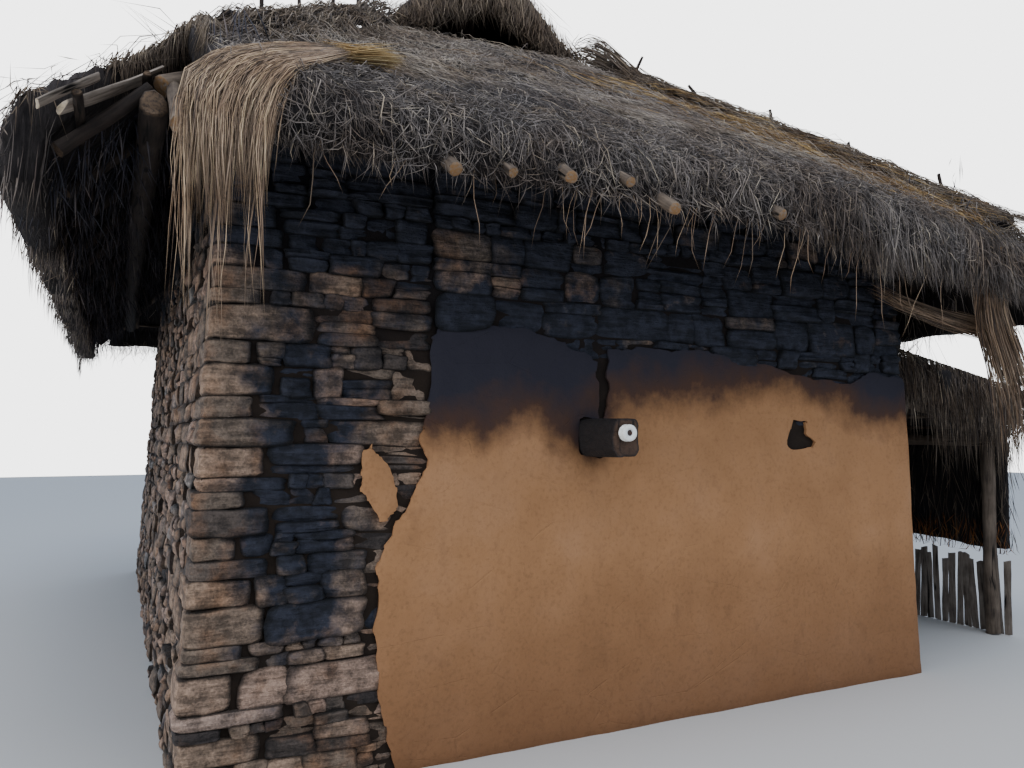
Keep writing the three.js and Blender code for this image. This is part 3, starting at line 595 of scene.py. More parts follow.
def ironMaterial():
    tree, where = newMaterial("oldIron", 0.6, 0.4)
    tree.shader["Metallic"].default_value = 0.7
    rust = tree.step(tree.noise(where, 120.0, 4.0), 0.42, 0.62)
    tree.paint(tree.mix(rust, "3c3a3a", "5a3524"))


def buildMaterials():
    buildGroups()
    stoneMaterial()
    jointMaterial()
    plasterMaterial()
    charredMaterial()
    glazeMaterial()
    ironMaterial()
    for name in strawLooks:
        strawMaterial(name)
    for name in bedLooks:
        bedMaterial(name)
    for name in woodLooks:
        woodMaterial(name)
    print("materials made")


class Heap:
    # gathers worked copies of a modelled shape into one joined mesh
    def __init__(self, seed):
        self.rng = np.random.default_rng(seed)
        self.places, self.faces, self.fields, self.total = [], [], [], 0

    def gather(self, places, faces, **fields):
        self.places.append(places)
        self.faces.append(faces + self.total)
        self.fields.append(fields)
        self.total += len(places)

    def joined(self, name):
        fields = {key: np.concatenate([part[key] for part in self.fields]) for key in self.fields[0]}
        places = keepInBox(inFrame(np.concatenate(self.places)))
        return newMesh(name, places, np.concatenate(self.faces), fields)


# Stones
stones = {
    "courses": (0.048, 0.165), "gap": -0.003, "proud": 0.022, "depth": 0.045, "longest": 0.50, "wave": 0.016,
    "quoinLong": 0.36, "quoinShort": 0.22, "endGap": 0.03, "shortest": 0.07, "leastRest": 0.09, "pairFrom": 0.085,
    "threeFrom": 0.125, "lean": 0.018, "tilt": 0.010, "flush": 0.002,
    "fine": {"kinds": 18, "across": 7, "up": 6, "chip": 0.09, "seed": 3},
    "plain": {"kinds": 12, "across": 3, "up": 3, "chip": 0.08, "seed": 4},
}


def stoneKinds(plan):  # a few broken stones modelled once, face towards +Z, coming to a point behind
    rng = np.random.default_rng(plan["seed"])
    kinds = []
    for kind in range(plan["kinds"]):
        bpy.ops.mesh.primitive_grid_add(x_subdivisions=plan["across"], y_subdivisions=plan["up"], size=2.0)
        block = bpy.context.object
        editMode("DESELECT", "EDGE")
        bpy.ops.mesh.select_non_manifold()
        bpy.ops.mesh.extrude_edges_move(TRANSFORM_OT_translate={"value": (0, 0, -0.9)})
        bpy.ops.mesh.extrude_edges_move(TRANSFORM_OT_translate={"value": (0, 0, -0.6)})
        bpy.ops.mesh.merge(type="CENTER")
        bpy.ops.mesh.select_all(action="SELECT")
        bpy.ops.mesh.quads_convert_to_tris()
        facesOut()
        co = points(block)
        co[:, :2] = np.sign(co[:, :2]) * np.abs(co[:, :2]) ** 0.7
        square = np.abs(co[:, :2]).max(axis=1)
        power = rng.uniform(4.5, 14.0)
        norm = (np.abs(co[:, :2]) ** power).sum(axis=1) ** (1 / power)
        co[:, :2] *= (square / np.maximum(norm, 1e-6))[:, None]
        shift = np.stack([softNoise(co + kind * 7.7, 0.7, 31 * kind + axis) for axis in range(3)], axis=1)
        ledges = softNoise(co * (0.35, 2.2, 1.0) + kind * 3.1, 0.7, 900 + kind)
        onFace = co[:, 2] > -0.01
        co[:, 0] += plan["chip"] * shift[:, 0]
        co[:, 1] += 1.3 * plan["chip"] * shift[:, 1]
        co[:, 2] += np.where(onFace, 0.22 * shift[:, 2] + 0.20 * ledges - rng.uniform(0.10, 0.45) * square ** 5, 0)
        # the third array is the mask for painted crevice shade: 1 on the open face, falling to 0 at the rims and sides
        kinds.append((co, faceLists(block), np.where(onFace, 1 - rising(square, 0.86, 1.0), 0)))
        bpy.data.objects.remove(block)
    return kinds


def blockKind(cuts):  # a quoin shows two faces, so it is rounded on all sides
    bpy.ops.mesh.primitive_cube_add(size=2.0)
    block = bpy.context.object
    editMode()
    bpy.ops.mesh.subdivide(number_cuts=cuts)
    bpy.ops.mesh.quads_convert_to_tris()
    objectMode()
    co, faces = points(block), faceLists(block)
    bpy.data.objects.remove(block)
    co = np.sign(co) * np.abs(co) ** 0.7
    norm = (np.abs(co) ** 9).sum(axis=1) ** (1 / 9)
    # the mask for painted crevice shade: 1 on the two open faces, falling to 0 at their rims
    face = (1 - rising(np.abs(co[:, 2]), 0.86, 1.0)) * rising(co[:, 0], -1.0, -0.9) * rising(co[:, 1], -1.0, -0.9)
    return co * (np.abs(co).max(axis=1) / norm)[:, None], faces, face


def courseLines(rng, low, high, foot, top):
    lines = [foot]
    while lines[-1] < top - low:
        lines.append(min(lines[-1] + low + (high - low) * rng.random() ** 1.3, top))
    lines[-1] = top
    return lines


class StoneHeap(Heap):
    def __init__(self, kinds, block, seed, sootAt, tone=(0.5, 0.25), split=0.22):
        super().__init__(seed)
        self.kinds, self.block, self.sootAt, self.tone, self.split = kinds, block, sootAt, tone, split

    def put(self, a, b, c, faces, face, corners):
        # corners: bottom-left, bottom-right, top-right and top-left of the back, then of the face
        weights = columns((1 - a) * (1 - b), a * (1 - b), a * b, (1 - a) * b)
        spots = weights @ corners[:4] * (1 - c[:, None]) + weights @ corners[4:] * c[:, None]
        tone = np.full(len(a), np.clip(self.rng.normal(*self.tone), 0, 1))
        soot = np.clip(self.sootAt(spots) + self.rng.normal(0, 0.17), -0.3, 1.2)
        self.gather(spots, faces, tone=tone, soot=soot, face=face)

    def addFace(self, corners):
        co, faces, face = self.kinds[self.rng.integers(len(self.kinds))]
        a, b = (co[:, 0] + 1) / 2, (co[:, 1] + 1) / 2
        a = 1 - a if self.rng.random() < 0.5 else a
        b = 1 - b if self.rng.random() < 0.5 else b
        self.put(a, b, (co[:, 2] + 1.5) / 1.5, faces, face, corners)

    def addQuoin(self, corners):
        co, faces, face = self.block
        seed = int(self.rng.integers(9999))
        shift = np.stack([softNoise(co, 0.6, seed + axis) for axis in range(3)], axis=1)
        ledges = softNoise(co * (0.4, 0.4, 2.0), 0.7, seed + 5)[:, None] * co * (0.05, 0.05, 0)
        co = co + shift * (0.05, 0.06, 0.15) + ledges
        self.put(*((co[:, axis] + 1) / 2 for axis in (0, 2, 1)), faces, face, corners)

    def finish(self, name):
        piece = self.joined(name)
        only(piece)
        editMode("SELECT")
        facesOut()
        smoothBelow(piece, 50)
        finishPiece(piece, "fieldstone", "rubble_stone")


def layFace(heap, onWall, lines, start, end, keep, flush=None):
    # lays rough courses; start and end give the span of each course, and flush tells where none may stand proud
    rng, gap = heap.rng, stones["gap"]
    for j in range(len(lines) - 1):
        thick = lines[j + 1] - lines[j]
        u, stop = start(j), end(j)
        while u < stop - stones["endGap"]:
            length = max(stones["shortest"], thick * rng.uniform(0.9, 1.0 + 3.4 * rng.random()))
            length = min(stones["longest"], length)
            if stop - (u + length) < stones["leastRest"]:
                length = stop - u
            parts = [(0.0, 1.0)]
            if thick > stones["pairFrom"] and rng.random() < heap.split:
                cut = rng.uniform(0.28, 0.72)
                parts = [(0.0, cut), (cut, 1.0)]
            if thick > stones["threeFrom"] and rng.random() < heap.split - 0.15:
                parts = [(0.0, 0.33), (0.33, 0.62), (0.62, 1.0)]
            for low, high in parts:
                z0, z1 = lines[j] + thick * low, lines[j] + thick * high
                middle = (u + length / 2, (z0 + z1) / 2)
                if not keep(*middle):
                    continue
                lean = rng.uniform(-stones["lean"], stones["lean"], 4)
                us = [u + gap + lean[0], u + length - gap + lean[1], u + length - gap + lean[2], u + gap + lean[3]]
                zs = [z0 + gap, z0 + gap, z1 - gap, z1 - gap]
                rough = softNoise([(a * 3.1, z * 9.0, j * 0.37) for a, z in zip(us, [z0, z0, z1, z1])], 1.0, 77)
                zs = [max(0.0, z + stones["wave"] * r) for z, r in zip(zs, rough)]
                proud = stones["proud"] * rng.uniform(0.2, 1.9)
                tilt = rng.uniform(-stones["tilt"], stones["tilt"], 4)
                if flush is not None and flush(*middle):
                    proud, tilt = stones["flush"], 0 * tilt
                backs = [onWall(a, z, -stones["depth"]) for a, z in zip(us, zs)]
                fronts = [onWall(a, z, proud + t) for a, z, t in zip(us, zs, tilt)]
                heap.addFace(np.array(backs + fronts))
            u += length


def layQuoins(heap, sx, sy, lines, runX, runY):
    # corner stones that turn the corner, long one way and short the other by turns
    rng = heap.rng
    for j in range(len(lines) - 1):
        z0, z1 = lines[j] + stones["gap"], lines[j + 1] - stones["gap"]
        proud = stones["proud"] * rng.uniform(0.6, 1.6)
        rims = []
        for z in (z0, z1):
            edgeX = (-leftFace(z) if sx < 0 else rightFace(z)) + proud
            edgeY = -frontFace(z) + proud
            innerX, innerY = edgeX - runX[j], edgeY - runY[j]
            rims.append([(innerX, innerY), (edgeX, innerY), (edgeX, edgeY), (innerX, edgeY)])
        low, high = [[(sx * x, sy * y, z) for x, y in rim] for rim, z in zip(rims, (z0, z1))]
        corners = np.array([low[0], low[1], high[1], high[0], low[3], low[2], high[2], high[3]])
        heap.addQuoin(corners)


def pierSoot(spots):
    u, z = spots[:, 0] + halfW, spots[:, 2]
    black = np.exp(-((u - 0.42) / 0.27) ** 2) * rising(z, 0.25, 1.0) * (1 - 0.35 * rising(z, 1.7, 2.0))
    high = 0.95 * rising(z, 2.10, 2.45) + 0.25 * rising(z, 1.7, 2.1) * rising(u, 0.1, 0.3)
    return np.maximum(black, high) - 0.42 * np.exp(-(u / 0.12) ** 2) * (1 - rising(z, 2.3, 2.5))


def upperSoot(spots):
    u, z = spots[:, 0] + halfW, spots[:, 2]
    return 0.98 - 0.42 * (rising(u, 1.0, 1.12) - rising(u, 1.45, 1.65)) * (rising(z, 2.15, 2.25) - rising(z, 2.40, 2.5))


def sideSoot(spots):
    return 0.02 + 0.75 * rising(spots[:, 2], 2.3, 2.8)


# The plaster's left edge by height, and its top by distance from the left corner
plasterEdge = ([0.0, 0.28, 0.63, 0.92, 1.12, 1.25, 1.37, 1.49, 1.80],
               [0.87, 0.80, 0.77, 0.78, 0.89, 0.96, 1.035, 0.985, 1.045])
plasterTop = ([1.05, 1.2, 1.7, 2.05, 2.9, 3.8, 4.0, 4.3], [1.90, 1.97, 1.95, 1.92, 1.88, 1.76, 1.80, 1.80])


def buildStones():
    kinds, fineKinds = stoneKinds(stones["plain"]), stoneKinds(stones["fine"])
    block, fineBlock = blockKind(3), blockKind(5)
    rng = np.random.default_rng(11)
    lines = courseLines(rng, *stones["courses"], 0.0, house["shoulder"])
    count = len(lines) - 1
    turn = np.arange(count) % 2 == 0
    long, short = stones["quoinLong"], stones["quoinShort"]
    frontRun = np.where(turn, long, short) * rng.uniform(0.8, 1.25, count)
    sideRun = np.where(turn, short, long) * rng.uniform(0.8, 1.25, count)

    onFront = lambda u, z, out: (u - halfW, frontFace(z) - out, z)
    onBack = lambda u, z, out: (u - halfW, out - frontFace(z), z)
    onLeft = lambda u, z, out: (leftFace(z) - out, u - halfD, z)
    onRight = lambda u, z, out: (rightFace(z) + out, u - halfD, z)
    always = lambda u, z: True
    fromLeft = lambda j: frontRun[j] + halfW + leftFace(lines[j])
    fromFront = lambda j: sideRun[j] + halfD + frontFace(lines[j])
    toBack = lambda j: house["depth"] - sideRun[j] - frontFace(lines[j]) - halfD

    pier = StoneHeap(fineKinds, fineBlock, 21, pierSoot, (0.37, 0.22), 0.40)
    layQuoins(pier, -1, -1, lines, frontRun, sideRun)
    edgeAt = lambda z: np.interp(z, *plasterEdge) if z < 1.95 else 9.0
    underScrap = lambda u, z: 0.66 < u < 0.92 and 1.03 < z < 1.50
    layFace(pier, onFront, lines, fromLeft, lambda j: house["quoin"] - 0.012,
            lambda u, z: u < edgeAt(z) + 0.11, lambda u, z: u > edgeAt(z) - 0.09 or underScrap(u, z))
    pier.finish("pierStones")

    upper = StoneHeap(fineKinds, block, 22, upperSoot, split=0.40)
    upperLines = courseLines(upper.rng, 0.055, 0.185, 1.55, house["shoulder"])
    bareSpot = lambda u, z: z > np.interp(u, *plasterTop) or (3.2 < u < 3.56 and 1.35 < z < 1.65)
    layFace(upper, onFront, upperLines, lambda j: house["quoin"] + 0.022, lambda j: house["width"] - 0.012, bareSpot,
            lambda u, z: z < np.interp(u, *plasterTop) + 0.07)
    upper.finish("upperWallStones")

    left = StoneHeap(kinds, block, 23, sideSoot, (0.57, 0.24))
    layFace(left, onLeft, lines, fromFront, toBack, always)
    layQuoins(left, -1, 1, lines, frontRun, sideRun)
    left.finish("leftWallStones")

    right = StoneHeap(kinds, block, 24, sideSoot)
    clearOfDoor = lambda u, z: not (halfD - 1.50 < u < halfD - 0.15 and z < 1.80)
    layFace(right, onRight, lines, lambda j: 0.03, toBack, clearOfDoor)
    layQuoins(right, 1, 1, lines, frontRun, sideRun)
    right.finish("rightWallStones")

    back = StoneHeap(kinds, block, 25, sideSoot)
    layFace(back, onBack, lines, fromLeft, lambda j: halfW + rightFace(lines[j]) - frontRun[j], always)
    back.finish("backWallStones")
    print("stones laid")


# Mud plaster on the end wall: outline points are distance from the left corner and height
plaster = {
    "grid": 0.030, "thick": 0.028, "undulation": 0.008,
    "outline": [
        (0.87, 0.0), (0.80, 0.28), (0.77, 0.63), (0.78, 0.92), (0.89, 1.12), (0.96, 1.25), (1.035, 1.37), (0.985, 1.49),
        (1.045, 1.80), (1.045, 1.975), (1.16, 2.04), (1.40, 2.044), (1.63, 2.017), (1.89, 1.93), (1.965, 1.88),
        (1.97, 1.59), (2.03, 1.59), (2.034, 1.965), (2.64, 1.968), (3.01, 1.924), (3.56, 1.836), (3.82, 1.818),
        (4.00, 1.895), (4.305, 1.87), (4.322, 0.0),
    ],
    "hole": [(3.30, 1.417), (3.48, 1.425), (3.495, 1.46), (3.423, 1.512), (3.44, 1.57), (3.34, 1.59), (3.28, 1.445)],
    "scrap": [(0.72, 1.43), (0.76, 1.445), (0.835, 1.35), (0.875, 1.18), (0.83, 1.09), (0.79, 1.092), (0.715, 1.265)],
    "logRoom": [(1.843, 1.388), (2.007, 1.388), (2.007, 1.588), (1.843, 1.588)],
    "sootFoot": [
        (0.7, 1.45), (1.1, 1.55), (1.7, 1.60), (1.95, 1.62), (2.1, 1.68), (2.6, 1.74), (3.1, 1.84), (3.5, 1.82),
        (3.75, 1.68), (4.1, 1.60), (4.35, 1.66),
    ],
}


def inside(outline, u, z):  # which points lie inside an outline
    hit = np.zeros(len(u), bool)
    for (u0, z0), (u1, z1) in zip(outline, outline[1:] + outline[:1]):
        if z0 != z1:
            hit ^= ((z0 > z) != (z1 > z)) & (u < u0 + (z - z0) * (u1 - u0) / (z1 - z0))
    return hit


def toOutline(outline, u, z):  # distance to an outline, and its nearest points
    best, nearU, nearZ = np.full(len(u), 1e9), u.copy(), z.copy()
    for (u0, z0), (u1, z1) in zip(outline, outline[1:] + outline[:1]):
        runU, runZ = u1 - u0, z1 - z0
        t = np.clip(((u - u0) * runU + (z - z0) * runZ) / (runU ** 2 + runZ ** 2), 0, 1)
        far = np.hypot(u - u0 - t * runU, z - z0 - t * runZ)
        closer = far < best
        nearU, nearZ = np.where(closer, u0 + t * runU, nearU), np.where(closer, z0 + t * runZ, nearZ)
        best = np.where(closer, far, best)
    return best, nearU, nearZ


def plasterSheet(name, outline, holes, step, node):
    us, zs = [p[0] for p in outline], [p[1] for p in outline]
    lowU, highU, lowZ, highZ = min(us) - step, max(us) + step, max(0.0, min(zs) - step), max(zs) + step
    cells = [int((highU - lowU) / step), int((highZ - lowZ) / step)]
    bpy.ops.mesh.primitive_grid_add(x_subdivisions=cells[0], y_subdivisions=cells[1], size=1.0)
    sheet = bpy.context.object
    sheet.name = name
    co = points(sheet)
    u, z = lowU + (co[:, 0] + 0.5) * (highU - lowU), lowZ + (co[:, 1] + 0.5) * (highZ - lowZ)
    loose = (u < 4.2) & (z > 0.05)
    du = np.where(loose, 0.014 * flatNoise(u, z, 0.07, 3) + 0.007 * flatNoise(u, z, 0.025, 4), 0)
    dz = np.where(loose, 0.014 * flatNoise(u, z, 0.07, 5) + 0.007 * flatNoise(u, z, 0.025, 6), 0)
    ids = faceLists(sheet)
    kept = inside(outline, (u + du)[ids].mean(axis=1), (z + dz)[ids].mean(axis=1))
    for hole in holes:
        kept &= ~inside(hole, (u + du)[ids].mean(axis=1), (z + dz)[ids].mean(axis=1))
    touched = np.zeros(len(co), int)
    np.add.at(touched, ids[kept].ravel(), 1)
    rim = (touched > 0) & (touched < 4)
    far = np.full(len(u), 1e9)
    for shape in [outline] + holes:
        distance, nearU, nearZ = toOutline(shape, u + du, z + dz)
        snap = rim & (distance < step * 1.2)
        u, z = np.where(snap, nearU - du, u), np.where(snap, nearZ - dz, z)
        far = np.minimum(far, distance)
    z = np.maximum(z, 0.0)
    swell = plaster["undulation"] * flatNoise(u, z, 0.30, 8) + 0.003 * flatNoise(u, z, 0.09, 9)
    out = plaster["thick"] - 0.002 + swell - 0.012 * np.exp(-far / 0.014)
    setPoints(sheet, inFrame(columns(u - halfW, frontFace(z) - out, z)))
    foot = np.interp(u, *zip(*plaster["sootFoot"]))
    soot = (z - foot) / 0.40 + 0.45 + 0.16 * flatNoise(u, z, 0.22, 12)
    nearLog = np.exp(-((u - 1.92) ** 2 / 0.02 + (z - 1.49) ** 2 / 0.022))
    addField(sheet, "soot", np.clip(np.maximum(soot, 0) + 0.7 * nearLog, 0, 1.2) * (u > 0.9))
    addField(sheet, "damp", np.clip(1 - z / 0.9, 0, 1) * 0.8)
    pickFaces(sheet, ~kept)
    bpy.ops.mesh.delete(type="FACE")
    objectMode()
    apply(sheet, "SOLIDIFY", thickness=plaster["thick"] - 0.004, offset=-1.0)
    smoothBelow(sheet, 50)
    finishPiece(sheet, "ochrePlaster", "mud_plaster", node)


def buildPlaster():
    holes = [plaster["hole"], plaster["logRoom"]]
    plasterSheet("plasterSheet", plaster["outline"], holes, plaster["grid"], "front_plaster")
    plasterSheet("plasterScrap", plaster["scrap"], [], 0.014, "plaster_scrap")
    print("plaster on")


# Straw: every stem is a thin closed body of three sides that comes to a point at both ends
strawSlots = {
    "greyStraw": "grey_thatch", "brownStraw": "dark_thatch", "eaveShadeStraw": "dark_thatch",
    "paleStraw": "golden_straw", "goldStraw": "golden_straw", "litOrangeStraw": "golden_straw",
}


def strawMesh(name, paths, width, tones, look, *replaced, slot=None, trimmed=False):
    # paths holds the steps of the stems in order; trimmed leaves out those that would hang in the bare corner
    if isinstance(paths, list):
        paths = np.stack(paths, axis=1)
    if trimmed:
        free = ~isBare(paths)
        paths, tones = paths[free], tones[free]
    stems, steps, _ = paths.shape
    paths = keepInBox(inFrame(paths))
    rng = np.random.default_rng(stems)
    run = paths[:, 2:] - paths[:, :-2]
    run /= np.maximum(np.linalg.norm(run, axis=2, keepdims=True), 1e-6)
    across = np.cross(run, rng.normal(size=(stems, 1, 3)))
    across /= np.maximum(np.linalg.norm(across, axis=2, keepdims=True), 1e-6)
    other = np.cross(run, across)
    half = (width * rng.uniform(0.6, 1.5, stems))[:, None, None]
    rings = [paths[:, 1:-1] + (across * math.cos(a) + other * math.sin(a)) * half for a in (0, 2.0944, 4.1888)]
    body = np.stack(rings, axis=2).reshape(stems, (steps - 2) * 3, 3)
    co = np.concatenate([paths[:, :1], body, paths[:, -1:]], axis=1)
    per = co.shape[1]
    faces = [(0, 1 + (k + 1) % 3, 1 + k) for k in range(3)]
    for s in range(steps - 3):
        for k in range(3):
            a, b = 1 + s * 3 + k, 1 + s * 3 + (k + 1) % 3
            faces += [(a, b, b + 3), (a, b + 3, a + 3)]
    last = per - 4
    faces += [(last + k, last + (k + 1) % 3, per - 1) for k in range(3)]
    faces = (np.array(faces)[None] + (np.arange(stems) * per)[:, None, None]).reshape(-1, 3)
    piece = newMesh(name, co.reshape(-1, 3), faces, {"tone": np.repeat(np.clip(tones, 0, 1), per)})
    finishPiece(piece, look, slot or strawSlots[look], *replaced)


# The beds of packed straw, and a way to seat loose stems on them
beds = {
    "fine": 0.058, "roll": 0.040, "kept": 0.32, "shapes": [],
    "frontLip": ([-2.2, -1.2, 0.3, 0.9], [2.60, 2.585, 2.56, 2.50]),
}


def workBed(node, name, voxel, swell, material, slot, seed, lip=None):
    bed = copyOf(node, name)
    apply(bed, "REMESH", mode="VOXEL", voxel_size=voxel)
    co = points(bed)
    amount = swell * softNoise(co, 0.40, seed) + 0.6 * swell * softNoise(co, 0.12, seed + 1) - 0.5 * swell
    co = keepInBox(co + normals(bed) * amount[:, None], 0.01)
    if lip:
        co[:, 2] = np.maximum(co[:, 2], np.interp(co[:, 0], *lip) + 0.008 * softNoise(co, 0.1, seed + 2))
    setPoints(bed, co)
    apply(bed, "DECIMATE", ratio=beds["kept"])
    only(bed)
    bpy.ops.object.shade_smooth()
    beds["shapes"].append((points(bed), [list(face.vertices) for face in bed.data.polygons]))
    finishPiece(bed, material, slot, node)


def buildBeds():
    for side in ("front", "back", "left", "right"):
        lip = beds["frontLip"] if side == "front" else None
        workBed("thatch_" + side, side + "ThatchBed", beds["fine"], 0.028, "greyBed", "grey_thatch", 41, lip)
    for corner in hips:
        name = corner.replace("_", "") + "RollBed"
        workBed("hip_roll_" + corner, name, beds["roll"], 0.022, "darkBed", "dark_thatch", 51)
    workBed("ridge_roll", "ridgeRollBed", beds["roll"], 0.022, "darkBed", "dark_thatch", 53)
    workBed("leanto_thatch", "leantoThatchBed", beds["fine"], 0.022, "greyBed", "dark_thatch", 61)
    workBed("leanto_screen", "leantoScreenBed", 0.04, 0.012, "greyBed", "dark_thatch", 63)
    total, places, faces = 0, [], []
    for co, lists in beds["shapes"]:
        places.append(co)
        faces += [[i + total for i in face] for face in lists]
        total += len(co)
    beds["tree"] = BVHTree.FromPolygons(np.concatenate(places).tolist(), faces)
    print("beds made")


def seated(places, outward, reach=0.22):  # each place is moved along its outward line onto the beds
    flat, lines = inFrame(places).reshape(-1, 3), outward.reshape(-1, 3)
    found = flat.copy()
    for i, (spot, line) in enumerate(zip(flat + lines * reach, -lines)):
        hit = beds["tree"].ray_cast(spot, line, reach * 1.7)[0]
        if hit is not None:
            found[i] = hit
    found[:, 1] -= yShift
    return found.reshape(places.shape)


def fromAbove(places, lift):
    down = np.zeros_like(places)
    down[..., 2] = 1
    placed = seated(places, down, 0.5)
    placed[..., 2] += lift
    return placed


# The section of a thatched slope: straight up the slope, round at the eave, then hanging down
slopes = {
    "end": {"steep": house["endSlope"], "edge": house["endEave"], "round": 0.18, "hang": math.radians(86)},
    "side": {"steep": house["sideSlope"], "edge": house["sideEave"], "round": 0.20, "hang": math.radians(88)},
}
for slope in slopes.values():
    slope["tilt"] = math.atan(slope["steep"])
    slope["bend"] = slope["round"] * (slope["hang"] - slope["tilt"])


def onSlope(kind, sign, along, s):
    # a place and its outward line; s is the way up the slope from the top of the eave's round
    slope = slopes[kind]
    line = endLine if kind == "end" else sideLine
    tilt, radius = slope["tilt"], slope["round"]
    startOut = slope["edge"] - 0.01 - radius * (math.sin(slope["hang"]) - math.sin(tilt))
    up, past, rest = np.maximum(s, 0), np.clip(-s, 0, slope["bend"]), np.maximum(-s - slope["bend"], 0)
    turn = tilt + past / radius
    out = startOut - radius * math.sin(tilt) + radius * np.sin(turn) - up * math.cos(tilt)
    out = out + rest * math.cos(slope["hang"])
    plan = (along, sign * out) if kind == "end" else (sign * out, along)
    z = line(startOut) + thatchRise(*plan) - radius * math.cos(tilt) + radius * np.cos(turn) + up * math.sin(tilt)
    z = z - rest * math.sin(slope["hang"])
    none = np.zeros_like(z)
    if kind == "end":
        return columns(along, sign * out, z), columns(none, sign * np.sin(turn), np.cos(turn))
    return columns(sign * out, along, z), columns(sign * np.sin(turn), none, np.cos(turn))


thatch = {
    "stem": 0.0019,
    "frontFoot": [
        (-2.6, 2.58), (-2.24, 2.58), (-2.0, 2.55), (-1.75, 2.53), (-1.40, 2.56), (-0.96, 2.55), (-0.36, 2.56),
        (0.0, 2.55), (0.34, 2.54), (0.70, 2.47), (0.95, 2.39), (1.33, 2.34), (1.73, 2.31), (2.17, 2.28), (2.7, 2.25),
    ],
    "rafterTips": [
        (-1.285, 2.585), (-1.035, 2.61), (-0.77, 2.63), (-0.47, 2.65), (-0.27, 2.56), (0.42, 2.57), (1.67, 2.40),
    ],
    "upperEdge": ([-1.7, -1.33, -0.83, -0.43, -0.02, 0.18, 0.84, 1.18, 2.0],
                  [0.95, 0.67, 1.07, 1.32, 0.84, 0.68, 0.66, 0.40, 0.28]),
    "upper": 5000,
    "bareEdge": ([-3.0, -2.8, -2.3, -2.19, -2.15], [-3.90, -3.60, -3.19, -3.44, -4.3]),
    "cutEdges": [
        {"name": "cutEdgeStraw", "stems": 1200, "line": [(-2.16, -3.22), (-2.32, -3.24), (-2.78, -3.60)],
         "inward": (-0.62, 0.78), "drift": (-0.77, -0.63), "back": (0.06, 0.34), "out": (0.01, 0.07),
         "fall": (0.03, 0.26)},
        {"name": "endCutStraw", "stems": 620, "line": [(-2.185, -3.26), (-2.165, -3.46), (-2.14, -3.66)],
         "inward": (0.90, 0.43), "drift": (0.2, -0.98), "back": (0.06, 0.30), "out": (0.01, 0.05),
         "fall": (0.04, 0.24)},
    ],
    "slopes": [
        {"side": "front", "kind": "end", "sign": -1, "foot": 2.50, "ragged": 0.6,
         "lying": 9700, "tangle": 8200, "hanging": 4200},
        {"side": "back", "kind": "end", "sign": 1, "foot": 2.46, "ragged": 1.0,
         "lying": 4200, "tangle": 1800, "hanging": 1600},
        {"side": "left", "kind": "side", "sign": -1, "foot": 2.32, "ragged": 1.0,
         "lying": 5000, "tangle": 2900, "hanging": 3300},
        {"side": "right", "kind": "side", "sign": 1, "foot": 2.13, "ragged": 1.0,
         "lying": 4200, "tangle": 1800, "hanging": 1700},
    ],
}


def isBare(paths):  # stems that would hang in the stripped corner at the front left
    x, y = paths[..., 0], paths[..., 1]
    return ((x < -2.15) & (y < np.interp(x, *thatch["bareEdge"]) - 0.03)).any(axis=1)


def sweep(kind, sign, along, s, length, aim, lifts):
    # stems of three points that run down the slope from a start, turned by an angle
    path = []
    for t, lift in zip((0.0, 0.5, 1.0), lifts):
        bow = aim * (1 + 0.35 * t)
        spot, outward = onSlope(kind, sign, along + length * t * np.sin(bow), s - length * t * np.cos(bow))
        path.append(seated(spot, outward) + outward * lift[:, None])
    return np.stack(path, axis=1)


def layLying(rng, plan):
    kind, count = plan["kind"], plan["lying"]
    edge, tilt = slopes[kind]["edge"], slopes[kind]["tilt"]
    top = house["gablet"] if kind == "end" else 0.0
    s = (edge - top) / math.cos(tilt) * rng.random(count * 3) ** 1.15
    out = edge - s * math.cos(tilt)
    sideReach = np.where(out < hipX(house["gablet"]), house["gablet"] + 0.05, np.minimum(hipY(out), house["endEave"]))
    reach = hipX(out) if kind == "end" else sideReach
    widest = hipX(house["endEave"]) if kind == "end" else house["endEave"]
    along = rng.uniform(-widest, widest, count * 3)
    kept = np.nonzero(np.abs(along) < reach + 0.02)[0][:count]
    s, along = s[kept], along[kept]
    total = len(s)
    length = rng.uniform(0.16, 0.52, total)
    swirl = 0.6 * flatNoise(along, s, 0.55, 21) + 0.3 * flatNoise(along, s, 0.15, 22)
    aim = (rng.normal(0, 0.26, total) + swirl) * (1.0 if plan["side"] == "front" else 0.55)
    low = rng.uniform(-0.004, 0.018, total)
    paths = sweep(kind, plan["sign"], along, s, length, aim, (low - 0.010, low + rng.exponential(0.010, total), low))
    tones = rng.normal(0.60, 0.09, total) + 0.14 * flatNoise(along, s, 0.6, 23) + 0.08 * flatNoise(along, s, 0.2, 24)
    if plan["side"] == "front":
        tones = tones - 0.20 * rising(np.interp(along, *thatch["upperEdge"]) - s, -0.05, 0.10)
    else:
        tones = tones - 0.16 * rising(0.75 - s, 0.0, 0.6)
    return paths, np.where(rng.random(total) < 0.04, rng.uniform(0.72, 0.92, total), tones)


def layTangle(rng, plan):  # short broken straw on the round of the eave
    kind, count = plan["kind"], plan["tangle"]
    widest = (hipX(house["endEave"]) if kind == "end" else house["endEave"]) - 0.02
    along, s = rng.uniform(-widest, widest, count), rng.uniform(-0.30, 0.42, count)
    length = rng.uniform(0.05, 0.20, count)
    aim = rng.normal(0, 0.85, count) + 0.6 * flatNoise(along, s, 0.3, 27)
    low = rng.uniform(-0.004, 0.022, count)
    lifts = (low - 0.012, low + 0.008, low + rng.exponential(0.018, count))
    paths = sweep(kind, plan["sign"], along, s, length, aim, lifts)
    tones = rng.normal(0.36, 0.13, count) + 0.12 * flatNoise(along, s, 0.35, 28)
    return paths, np.where(rng.random(count) < 0.10, rng.uniform(0.62, 0.95, count), tones)


